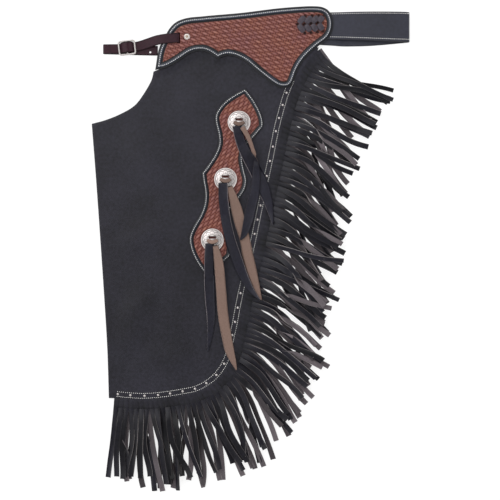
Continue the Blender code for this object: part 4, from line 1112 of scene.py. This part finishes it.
def strand_paths(leg, seed):
    """Plan routes of the strands: each leaves square to the slit line and then turns towards
    the lay of the fringe at its place, with a seeded wander."""
    seam_mm, _, slits, way = fringe_stations(leg)
    lay = table(FRINGE_LAY[leg])
    random = np.random.default_rng(seed)
    routes = []
    for k in range(len(slits) - 1):
        here = (seam_mm[k] + seam_mm[k + 1]) / 2
        turn, bend, longer = np.clip(random.normal(0.0, 1.0, 3), -1.6, 1.6)
        end = math.radians(np.interp(here, lay[:, 0], lay[:, 1]) + WANDER["turn"] * turn)
        square = way[k] + way[k + 1]
        start = math.atan2(square[1], square[0])
        start += 0.35 * (end - start)
        length = np.interp(here, lay[:, 0], lay[:, 2]) * (1 + WANDER["length"] * longer)
        fine = np.linspace(0.0, length, 66)
        ease = np.clip((fine - 5.0) / 45.0, 0.0, 1.0)
        ease = ease**2 * (3 - 2 * ease)
        angle = start + (end - start) * ease
        angle += math.radians(WANDER["bend"]) * bend * (fine / length)**2
        step = np.diff(fine)[:, None]
        moves = np.column_stack([np.cos(angle[:-1]), np.sin(angle[:-1])]) * step
        line = np.vstack([[0.0, 0.0], np.cumsum(moves, axis=0)]) + (slits[k] + slits[k + 1]) / 2
        nodes = np.array([0.0, STRAIGHT_ROOT, 0.3 * length, 0.52 * length, 0.76 * length, length])
        routes.append(np.column_stack([np.interp(nodes, fine, line[:, i]) for i in (0, 1)]))
    return routes


def strand_halves(routes):
    """Half widths of the strands: the cut width, less where neighbours crowd at the root."""
    roots = np.array([route[1] for route in routes])
    apart = np.linalg.norm(np.diff(roots, axis=0), axis=1)
    near = np.minimum(np.append(apart, np.inf), np.insert(apart, 0, np.inf))
    return np.minimum(STRAND_WIDTH, near - SLIT_WIDTH) / 2


def cross_lines(route):
    """Unit vectors square to a plan route at each of its points, to its left."""
    ahead = np.diff(route, axis=0)
    ahead /= np.linalg.norm(ahead, axis=1)[:, None]
    mean = np.vstack([ahead[:1], ahead[:-1] + ahead[1:], ahead[-1:]])
    mean /= np.linalg.norm(mean, axis=1)[:, None]
    return np.column_stack([-mean[:, 1], mean[:, 0]])


# A strand's section, going round. Columns: share of the half width, trim, height in walls
STRAND_SECTION = table((
    (-1.0, 0.0, -0.4), (-1.0, 0.0, 0.4), (-0.84, 0.0, 0.5), (0.0, 0.0, 0.5), (0.84, 0.0, 0.5),
    (1.0, 0.0, 0.4), (1.0, 0.0, -0.4), (0.84, 0.0, -0.5), (0.0, 0.0, -0.5), (-0.84, 0.0, -0.5),
))


def eased(value):
    """The value kept between 0 and 1 and smoothed at both ends: 3 squares less 2 cubes."""
    value = np.clip(value, 0.0, 1.0)
    return value**2 * (3 - 2 * value)


def smoothed(values, reach):
    """Each value as the mean of those within reach of it, the end values being repeated."""
    padded = np.concatenate([np.repeat(values[:1], reach), values, np.repeat(values[-1:], reach)])
    return np.convolve(padded, np.ones(2 * reach + 1) / (2 * reach + 1), mode="valid")


def strand(route, heights, half, random, flip, root, shift, turning, hem_shade):
    """One strand: its section carried along a smooth line through the route, which sways aside
    by a sine that grows along it. It rolls about its own length, a little from the start and, by
    the chance given, right over, and cups. Its lowest point follows the solid strand's height,
    evened out along it."""
    plan = spline(route, 3.5)
    along = lengths(plan)
    share = along / along[-1]
    low = smoothed(np.interp(along, lengths(route), heights), 3)
    wide = np.interp(along, [0.0, STRAIGHT_ROOT, 45.0, along[-1]], [root, half, half * 1.14, half * 1.14])
    sway = random.normal(0.0, 1.0, 7)
    aside = share**1.4 * 3.2 * np.sin(share * 5.0 + sway[0]) * sway[1]
    aside += shift * np.sin(math.pi * share) ** 2
    plan = plan + left_normals(plan) * aside[:, None]
    over = eased((share - 0.12 - 0.34 * random.random()) / (0.25 + 0.2 * random.random()))
    roll = math.radians(13) * (0.7 + 0.5 * sway[5]) * eased(share / 0.22)
    roll = roll + math.radians(17) * sway[2] * np.sin(share * 4.6 + sway[6]) * share
    if random.random() < turning:
        roll = roll + math.copysign(math.pi * (0.85 + 0.2 * random.random()), sway[3]) * over
        wide = wide * (1 - 0.2 * np.sin(math.pi * over))
    cup = (0.5 + 0.6 * abs(sway[4])) * np.clip(share * 2.0, 0.0, 1.0) - 0.75 * (1 - eased(share * 4.0))
    ahead = np.gradient(plan, axis=0)
    ahead /= np.linalg.norm(ahead, axis=1)[:, None]
    flat = np.column_stack([-ahead[:, 1], ahead[:, 0], np.zeros(len(plan))])
    up = np.tile((0.0, 0.0, 1.0), (len(plan), 1))
    c, s = np.cos(roll)[:, None], np.sin(roll)[:, None]
    centre = np.column_stack([plan, np.zeros(len(plan))])
    points, faces, marks = carried(centre, flat * c + up * s, up * c - flat * s, wide, STRAND_WALL,
                                   STRAND_SECTION, cup)
    rings = points.reshape(len(plan), -1, 3)
    tip = 2.5 * abs(sway[5]) * np.clip((share - 0.75) / 0.25, 0.0, 1.0) ** 2
    over_bunch = 1.2 * abs(shift) / 4.0 * np.sin(math.pi * share) ** 2
    rings[..., 2] += (low - rings[..., 2].min(axis=1) + tip + over_bunch)[:, None]
    start = np.repeat(eased(share / 0.2), rings.shape[1])
    marks["side"] = np.sign(np.tile(STRAND_SECTION[:, 2], len(plan))) * flip
    # Painted shade on the lower leg's strands near the hem, darkest from the root to near half their length
    painted_shade = np.repeat(hem_shade * (1 - eased((share - 0.45) / 0.3)), rings.shape[1])
    marks["shade"] = start * np.clip(random.normal(-0.08, 0.28), -0.6, 0.5) + 0.25 * (1 - start) - painted_shade
    # The paler cut: faint on one edge, and on the other a painted highlight of seeded strength
    cut = np.where(marks["across"] > 0.95, np.clip(0.55 + 0.4 * random.normal(), 0.1, 1.0), 0.0)
    marks["rim"] = (cut + 0.12 * (marks["across"] < -0.95)) * start
    return rings.reshape(-1, 3), faces, marks


def strip(inner, slits, strip_z, leg):
    """The strip that a stretch of strands hangs from. Its section is skived thin where it lies over the
    leg's edge and drops to its own height before the slits, where it ripples: between two slits it swells by
    a sine, more and less by slower sines along the strip. Its shade goes from that of the leg to that of the
    strands, with painted shade between the swells."""
    count = 8 * (len(slits) - 1) + 1
    outer = at(slits, np.linspace(0, lengths(slits)[-1], count))
    edge = at(inner, np.linspace(0, lengths(inner)[-1], count))
    out = outer - edge
    out /= np.linalg.norm(out, axis=1)[:, None]
    # Columns: millimetres out from the leg's own edge, share of the leg's height, millimetres up,
    # ripple, shade
    section = table((
        (-1.9, 1.0, 0.03, 0.1, 0.2), (-0.2, 1.0, 0.16, 0.35, 0.15), (3.4, 0.55, 0.1, 0.9, 0.0),
        (8.0, 0.2, 0.0, 1.1, -0.15), (15.6, 0.0, 0.0, 1.1, -0.4), (15.6, 0.0, -STRAND_WALL, 0.0, -0.5),
        (8.0, 0.0, -STRAND_WALL, 0.0, 0.0), (3.4, 0.0, -STRAND_WALL, 0.0, 0.0),
        (0.4, 0.0, -STRAND_WALL, 0.0, 0.0), (0.3, 1.0, -0.2, 0.0, 0.0),
    ))
    plan = edge[:, None] + out[:, None] * section[None, :, :1]
    flat = plan.reshape(-1, 2)
    low = ground(flat) + strip_z + STRAND_WALL
    high = leg_face(flat) if leg == "top" else ground(flat) + LEG_WALL
    samples = np.arange(count)
    swells = np.sin(math.pi * (samples % 8) / 8.0) ** 0.7 - 0.8
    swells = swells * (0.65 + 0.35 * np.sin(samples * 0.21)) + 0.3 * np.sin(samples * 0.13)
    lift = section[None, :, 2] + section[None, :, 3] * swells[:, None]
    points = np.column_stack([flat, low + (high - low) * np.tile(section[:, 1], count) + lift.ravel()])
    around = len(section)
    faces = [tuple(f) for f in grid_faces(count, around, wrap=True)]
    faces += [tuple(range(around)), tuple((count - 1) * around + i for i in reversed(range(around)))]
    flip = 1.0 if leg == "top" else -1.0
    zero = np.zeros(len(points))
    # The shade mark adds painted shade between the swells of the ripple
    marks = {
        "side": np.tile(np.repeat((1.0, -1.0), 5), count) * flip, "across": zero, "along": zero,
        "shade": (section[None, :, 4] + 0.5 * section[None, :, 3] * swells[:, None]).ravel(), "rim": zero,
    }
    return points, faces, marks


def make_fringe():
    """Both legs' fringes as the solids have them: sections of narrow strip with their strands.
    Neighbouring strands draw together in seeded bunches of two to four."""
    made = {"under": [], "top": []}
    for leg, strip_z, seed in (("under", GAP, WANDER["seed"]), ("top", TOP_LEG_Z, WANDER["seed"] + 7)):
        seam_mm, inner, slits, _ = fringe_stations(leg)
        count = len(slits) - 1
        breaks = [round(count * k / SECTIONS) for k in range(SECTIONS + 1)]
        routes = strand_paths(leg, seed)
        halves = strand_halves(routes)
        random = np.random.default_rng(seed + 50)
        shifts = []
        while len(shifts) < count:
            bunch = int(random.integers(2, 5))
            shifts += list((np.arange(bunch) - (bunch - 1) / 2) * random.uniform(1.5, 3.4))
        for k in range(SECTIONS):
            name = f"fringe_{leg}_{k + 1}"
            first, last = breaks[k], breaks[k + 1]
            reach = slice(first, last + 1)
            parts = [strip(inner[reach], slits[reach], strip_z, leg)]
            for n in range(first, last):
                route, half = routes[n], halves[n]
                aside = cross_lines(route)
                places = np.vstack([route[1:] + aside[1:] * half, route[1:] - aside[1:] * half])
                found = lowest_at(name, places).reshape(2, -1).min(axis=0)
                root_z = float(ground(route[:1])[0]) + strip_z
                pitch = np.linalg.norm(slits[n + 1] - slits[n])
                parts.append(strand(route, np.concatenate([[root_z], found]), half, random,
                                    1.0 if leg == "top" else -1.0, pitch / 2 - 0.1, shifts[n],
                                    np.interp(seam_mm[n], *TURNED_OVER),
                                    np.interp(seam_mm[n], *HEM_PAINTED_SHADE) if leg == "under" else 0.0))
            points, faces, marks = join_parts(parts)
            strip_finish = BLACK if leg == "top" else FRINGE
            piece = make(f"{name}_cut", points, faces, strip_finish, marks, sharp=45,
                         second=(FRINGE, len(parts[0][1])))
            stand_in(piece, "black_leather" if leg == "top" else "flesh_side", name)
            made[leg].append(piece)
    return made


def make_strings():
    """The strings' tails, each a strip with round edges along a smooth line through its rows,
    resting where its solid rests. The one that shows both sides rolls over on its way."""
    section = strip_section(5, 3)
    for name, rows in STRINGS.items():
        rows = table(rows)
        aside = cross_lines(rows[:, :2]) * rows[:, 2:] / 2
        heights = lowest_at(name, np.vstack([rows[:, :2] + aside, rows[:, :2] - aside]))
        heights = heights.reshape(2, -1).min(axis=0)
        plan = spline(rows, 3.0)
        along = lengths(plan[:, :2])
        share = along / along[-1]
        half = plan[:, 2] / 2
        rolls = name == "string_1b"
        roll = math.pi * (1 - eased((share - 0.2) / 0.16)) if rolls else np.zeros(len(share))
        z = np.interp(along, lengths(rows[:, :2]), heights) + STRING_WALL / 2 + half * np.abs(np.sin(roll))
        route = np.column_stack([plan[:, :2], z])
        ahead = np.gradient(route, axis=0)
        ahead /= np.linalg.norm(ahead, axis=1)[:, None]
        across = np.column_stack([-ahead[:, 1], ahead[:, 0], np.zeros(len(ahead))])
        across /= np.linalg.norm(across, axis=1)[:, None]
        up = np.cross(ahead, across)
        up *= np.sign(up[:, 2:])
        c, s = np.cos(roll)[:, None], np.sin(roll)[:, None]
        cup = 0.5 * np.sin(share * 7.0 + len(name) + rows[0, 0])
        points, faces, marks = carried(route, across * c + up * s, up * c - across * s, half,
                                       STRING_WALL, section, cup)
        # Painted highlight: the cut colour goes on the lit edge only, strongest where the grain is out
        lit = 1.0 if name == "string_2a" else -1.0
        flesh_out = name.endswith("b")
        marks["rim"] = (marks["across"] * lit > 0.99) * (0.1 if flesh_out else 0.75)
        marks["shade"] = np.zeros(len(points))
        if flesh_out and not rolls:
            marks["side"] = -marks["side"]
        piece = make(f"{name}_tail", points, faces, STRING, marks)
        stand_in(piece, "string_flesh" if flesh_out else "black_leather", name)


def make_conchos():
    """Three domed discs. Height over the disc is a smooth dome, plus a roped bead round the rim
    and cut lines: a ring of scallops by the sine of the angle, rays inside it and a circle round
    the middle. Two slots go through."""
    radii = np.concatenate([np.linspace(0.0, 16.5, 42), np.linspace(16.8, CONCHO_RADIUS, 14)])
    turns = np.linspace(0.0, 2 * math.pi, 160, endpoint=False)
    r, t = np.meshgrid(radii, turns, indexing="ij")
    dome = np.interp(r, (0, 6, 12, 16.5, CONCHO_RADIUS), (4.6, 4.3, 3.3, 1.9, 1.0))
    bead = 0.35 * np.exp(-(((r - 17.9) / 0.5) ** 2)) * (0.7 + 0.3 * np.cos(t * 40))
    scallops = np.exp(-(((r - 12.6 - 2.2 * np.abs(np.sin(t * 5))) / 0.5) ** 2))
    rays = np.clip(np.cos(t * 20), 0, 1) ** 4 * np.exp(-(((r - 10.4) / 1.3) ** 4))
    circle = np.exp(-(((r - 8.4) / 0.4) ** 2))
    rope = np.exp(-(((r - 16.6) / 0.4) ** 2))
    cut = np.clip(scallops + 0.8 * rays + circle + rope, 0.0, 1.0)
    edge = np.interp(r, (CONCHO_RADIUS - 0.5, CONCHO_RADIUS), (0.0, 1.0))
    top = dome + bead - 0.28 * cut - 0.5 * edge**2
    hollow = np.interp(r, (0, 5.8, 11.5, 16, CONCHO_RADIUS), (3.2, 2.9, 1.9, 0.5, 0.0))
    base = PLATE_FACE + GAP
    for name, (x, y) in CONCHO_CENTRES.items():
        plan = np.stack([x + r * np.cos(t), y + r * np.sin(t)], axis=-1)
        upper = np.concatenate([plan, (base + top)[..., None]], axis=2)
        lower = np.concatenate([plan, (base + hollow)[..., None]], axis=2)[::-1]
        points = np.concatenate([upper, lower]).reshape(-1, 3)
        faces = grid_faces(2 * len(radii), len(turns), wrap=True)
        marks = {"relief": np.concatenate([cut.ravel(), np.full(cut.size, 0.5)])}
        piece = make(f"{name}_disc", points, faces, ENGRAVED, marks, sharp=60)
        cutters = [
            block((x, y + side * CONCHO_SLOT_AWAY), CONCHO_SLOT_HALF, base - 0.5, base + 6.0)
            for side in (1, -1)
        ]
        cut_through(piece, cutters)
        stand_in(piece, "nickel_silver", name)


def make_knots():
    """The band that each string makes where it crosses over its concho between the slots: a
    strip along a sagging arch, its flesh side out."""
    top = PLATE_FACE + GAP + 4.6 + 1.1
    for k, (x, y) in enumerate(CONCHO_CENTRES.values()):
        route = spline(table(KNOT) + (x, y, top), 1.2)
        across, up = level_frame(route, (0.0, 1.0, 0.0))
        share = np.linspace(-1.0, 1.0, len(route))
        half = 3.3 - 0.5 * share**4
        points, faces, marks = carried(route, across, up * np.sign(up[:, 2:]), half, LACING_WALL,
                                       strip_section(5, 3), np.full(len(route), -0.6))
        marks["side"] = -marks["side"]
        marks["rim"] = (np.abs(marks["across"]) > 0.99) * 0.3
        marks["shade"] = np.full(len(points), (-0.25, -0.1, 0.3)[k])
        stand_in(make(f"string_knot_{k + 1}", points, faces, STRING, marks), "string_flesh")


def arc(centre, radius, start, end, count):
    """Points (x, z) of an arc, given in degrees anticlockwise in the XZ plane."""
    turns = np.radians(np.linspace(start, end, count))
    return np.column_stack([centre[0] + radius * np.cos(turns), centre[1] + radius * np.sin(turns)])


def strap_route():
    """The front strap's middle line, as in its solid."""
    under = TOP_YOKE_Z - GAP - STRAP_WALL / 2
    over = YOKE_FACE + GAP + STRAP_WALL / 2
    bend = 2.5
    rise = arc((SLOT_X + bend, under + bend), bend, 270, 180, 4)
    crest = arc((SLOT_X - bend, over - bend), bend, 0, 90, 4)
    route = [(-92.0, 351.6, under)]
    route += [(x, SLOT_Y + 0.2, z) for x, z in np.vstack([rise, crest])]
    route += [(-139.5, 349.7, over), (-150.8, 348.1, 11.8), (-157.5, 346.7, 9.6)]
    route += [(-169.5, 343.3, 4.9), (-180.0, 339.8, 3.7)]
    # Columns: way along the buckle from its middle bar, height
    over_bar = ((15.4, 3.6), (11.0, 3.6), (8.5, 4.8), (3.6, 8.6), (0.0, 9.5), (-3.6, 8.6),
                (-8.5, 4.8), (-11.0, 3.6), (-15.4, 3.6))
    for u, z in over_bar:
        x = BUCKLE_CENTRE[0] + u * math.cos(BUCKLE_TURN)
        y = BUCKLE_CENTRE[1] + u * math.sin(BUCKLE_TURN)
        route.append((x, y, z))
    route += [(-233.0, 333.4, 4.2)]
    route += [(x, 333.2, z) for x, z in arc((-242.3, 2.85), 1.75, 90, 270, 9)]
    route += [(-217.0, 332.6, 1.1), (-187.0, 331.6, 1.1), (-172.0, 331.2, 1.1), (-154.0, 331.0, 1.1)]
    return table(route)


def make_strap():
    """The front strap, pressed a little wider where it fills the buckle, with a hole punched in
    the layer that comes back under it."""
    route = cut_corners(strap_route(), 2)
    across, up = level_frame(route, (0.0, 1.0, 0.0))
    in_buckle = np.exp(-(((route[:, 0] - BUCKLE_CENTRE[0]) / 11.5) ** 10)) * (route[:, 2] > 4.0)
    route[:, 1] += 0.6 * in_buckle
    half = 8.1 + 0.9 * in_buckle
    points, faces, marks = carried(route, across, up, half, STRAP_WALL, strip_section(7, 3))
    marks["rim"] = np.clip(np.abs(marks["across"]) * 8 - 7.2, 0.0, 1.0)
    piece = make("front_strap", points, faces, OXBLOOD, marks)
    cut_through(piece, [drill(STRAP_HOLE, 1.8, -1.0, 2.6)])
    stand_in(piece, "oxblood_leather", "strap")
    lengths(route)[-1] * MM


def wire(name, middle, radius, closed, material):
    """A round wire whose section is spun round a flat line: point = line + outward times the
    cosine plus up times the sine of the angle, times the radius."""
    out = left_normals(middle, closed)
    turns = np.linspace(0.0, 2 * math.pi, 16, endpoint=False)
    flat = middle[:, None] + out[:, None] * (radius * np.cos(turns))[None, :, None]
    z = np.broadcast_to(BUCKLE_Z + radius * np.sin(turns), flat.shape[:2])
    points = np.concatenate([flat, z[..., None]], axis=2)
    if closed:
        points = np.concatenate([points, points[:1]])
    faces = [tuple(f) for f in grid_faces(len(points), 16, wrap=True)]
    if not closed:
        last = (len(points) - 1) * 16
        faces += [tuple(range(16)), tuple(last + i for i in reversed(range(16)))]
    return points.reshape(-1, 3), faces, {}


def make_buckle():
    """A rectangular wire frame with round corners, and a bar across its middle."""
    half_x, half_y = BUCKLE_HALF
    c, s = math.cos(BUCKLE_TURN), math.sin(BUCKLE_TURN)
    turn = np.array([[c, s], [-s, c]])
    corners = []
    for cx, cy, start in ((1, 1, 0), (-1, 1, 90), (-1, -1, 180), (1, -1, 270)):
        angles = np.radians(np.linspace(start, start + 90, 8))
        corners.append(np.column_stack([
            cx * (half_x - BUCKLE_CORNER) + BUCKLE_CORNER * np.cos(angles),
            cy * (half_y - BUCKLE_CORNER) + BUCKLE_CORNER * np.sin(angles),
        ]))
    middle = np.vstack(corners) @ turn + BUCKLE_CENTRE
    bar = np.column_stack([np.zeros(9), np.linspace(-half_y, half_y, 9)]) @ turn + BUCKLE_CENTRE
    parts = [wire("frame", middle, BUCKLE_WIRE, True, NICKEL), wire("bar", bar, BUCKLE_BAR, False, NICKEL)]
    points, faces, _ = join_parts(parts)
    stand_in(make("buckle_wire", points, faces, NICKEL), "nickel_silver", "buckle")


def belt_rows():
    """The back belt's middle line and width, as in its solid: out to the right, over in a loose
    fold and back. Columns: x, y, z, width"""
    out = ((66, 371, 6.15, 45), (137, 371.5, 6.3, 45), (183, 371.5, 6.9, 48), (235, 370.3, 8, 50),
           (256, 369.8, 8.3, 50))
    fold = arc((260.6, 4.65), 3.65, 90, -90, 13)[1:-1]
    back = ((256, 369.0, 1.0, 50), (221, 365, 1.0, 49), (193, 362.5, 1.0, 48),
            (164, 361.5, 1.0, 47), (152, 361.6, 1.0, 47), (140, 362, 3.8, 46), (66, 365, 3.8, 45))
    return table(list(out) + [(x, 369.4, z, 50) for x, z in fold] + list(back))


def make_belt():
    """The back belt and the sewn row along each of its edges."""
    rows = cut_corners(belt_rows(), 3)
    route, width = rows[:, :3], rows[:, 3]
    across, up = level_frame(route, (0.0, 1.0, 0.0))
    section = strip_section(11, 3)
    points, faces, marks = carried(route, across, up, width / 2, BELT_WALL, section)
    marks["rim"] = np.clip(np.abs(marks["across"]) * 20 - 19.2, 0.0, 1.0)
    piece = make("back_belt", points, faces, BELT, marks)
    stand_in(piece, "belt_leather", "belt")
    lengths(route)[-1] * MM
    upper = route[:, 0] > 60
    lines = []
    for side, inset in ((1, 2.7), (-1, 4.5)):
        lines.append((route + across * (width / 2 - inset)[:, None] * side
                      + up * (BELT_WALL / 2 - 0.1))[upper])
    lines = [line[:int(np.argmax(line[:, 0])) + 1] for line in lines]
    stand_in(thread("belt_stitching", lines, THREAD), "belt_leather")


def make_lacing():
    """The black lace over the belt's end: eight arms, each a domed strip that comes up out of
    the hole at its point and goes down into its upper or lower hole."""
    parts = []
    section = strip_section(5, 3)
    for tx, ty, px, py, lx, ly in LACING:
        for hx, hy in ((tx, ty), (lx, ly)):
            arm = np.array([hx - px, hy - py]) / math.hypot(hx - px, hy - py)
            line = np.linspace((px, py) + arm * 2.0, (hx, hy) - arm * 0.6, 18)
            share = np.linspace(0, 1, 18)
            z = YOKE_FACE + GAP + LACING_WALL / 2 + 0.7 * np.sin(math.pi * share)
            route = np.column_stack([line, z])
            across, up = level_frame(route, (-1.0, 0.0, 0.0))
            up *= np.sign(up[:, 2:])
            half = 4.9 - 1.6 * share**14 - 1.8 * (1 - share) ** 14
            points, faces, marks = carried(route, across, up, half, LACING_WALL, section, np.full(18, -0.6))
            marks["rim"] = np.zeros(len(points))
            parts.append((points, faces, marks))
    points, faces, marks = join_parts(parts)
    stand_in(make("belt_lacing", points, faces, LACE, marks), "black_leather", "lacing")


def make_rivet():
    """The tubular rivet beside the slot: a rolled ring round its sunk, domed shank."""
    ring = ((0.0, 0.9), (1.7, 0.9), (2.0, 1.9), (2.7, 2.3), (3.8, 1.9), (4.7, 1.0), (5.2, 0.3), (5.2, 0.0),
            (0.0, 0.0))
    core = ((0.0, 1.9), (1.0, 1.75), (1.75, 1.3), (1.75, 0.8), (0.0, 0.8))
    for name, profile, material in (("rivet_cap", ring, DULL_NICKEL), ("rivet_core", core, BRASS)):
        points, faces = turned_form(profile, 32)
        piece = make(name, points + (*RIVET_PLACE, YOKE_FACE + GAP), faces, material, sharp=50)
        nodes = ["rivet"] if name == "rivet_cap" else []
        stand_in(piece, "nickel_silver", *nodes)


def make_stage():
    """A plain white light table, which leaves faint shadows only, a white surround with a soft
    key light from the upper left, and a camera straight above, at the photograph's framing."""
    size = 3000.0
    grid = np.linspace(-size, size, 5)
    x, y = np.meshgrid(grid, grid, indexing="ij")
    points = np.column_stack([x.ravel(), y.ravel(), np.full(x.size, -0.3)])
    floor_finish = surface("lit white table", Base_Color=grey(0.25), Roughness=0.9,
                           Emission_Color=grey(1.0), Emission_Strength=0.8)[0]
    mesh = bpy.data.meshes.new("floor")
    mesh.from_pydata((points * MM).tolist(), [], [tuple(f) for f in grid_faces(5, 5)])
    mesh.materials.append(floor_finish)
    floor = bpy.data.objects.new("floor", mesh)
    bpy.context.scene.collection.objects.link(floor)
    world = bpy.data.worlds.new("white surround")
    world.use_nodes = True
    sky = world.node_tree
    way = add(sky, "ShaderNodeTexCoord").outputs["Generated"]
    height = add(sky, "ShaderNodeSeparateXYZ", {"Vector": way}).outputs["Z"]
    glow = add(sky, "ShaderNodeMapRange", {"Value": height, "From Min": 0.5, "From Max": 0.95,
                                           "To Min": 1.5, "To Max": 0.3}, interpolation_type="SMOOTHSTEP")
    sky.nodes["Background"].inputs["Color"].default_value = grey(1.0)
    sky.links.new(glow.outputs[0], sky.nodes["Background"].inputs["Strength"])
    bpy.context.scene.world = world
    lamp = bpy.data.lights.new("key", "AREA")
    lamp.shape = "RECTANGLE"
    lamp.size, lamp.size_y = 2.2, 2.2
    lamp.energy = 22.0
    key = bpy.data.objects.new("key", lamp)
    key.location = (-0.9, 0.9, 1.7)
    key.rotation_euler = (Vector((0, 0, 0)) - key.location).to_track_quat("-Z", "Y").to_euler()
    bpy.context.scene.collection.objects.link(key)
    lens = bpy.data.cameras.new("camera")
    lens.lens = 100.0
    lens.sensor_width = 36.0
    camera = bpy.data.objects.new("camera", lens)
    width = 500 * 1.664 * MM
    camera.location = (-0.33 * MM, -1.2 * MM, width * 100.0 / 36.0 + 0.006)
    camera.rotation_euler = (0.0, 0.0, 0.0)
    bpy.context.scene.collection.objects.link(camera)
    bpy.context.scene.camera = camera
    bpy.context.scene.view_settings.view_transform = "Standard"
    bpy.context.scene.view_settings.look = "None"


make_stage()
legs = make_legs()
make_under_yoke()
make_yoke()
make_plate()
seam = make_seam()
fringe = make_fringe()
make_conchos()
make_strings()
make_knots()
make_strap()
make_buckle()
make_belt()
make_lacing()
make_rivet()
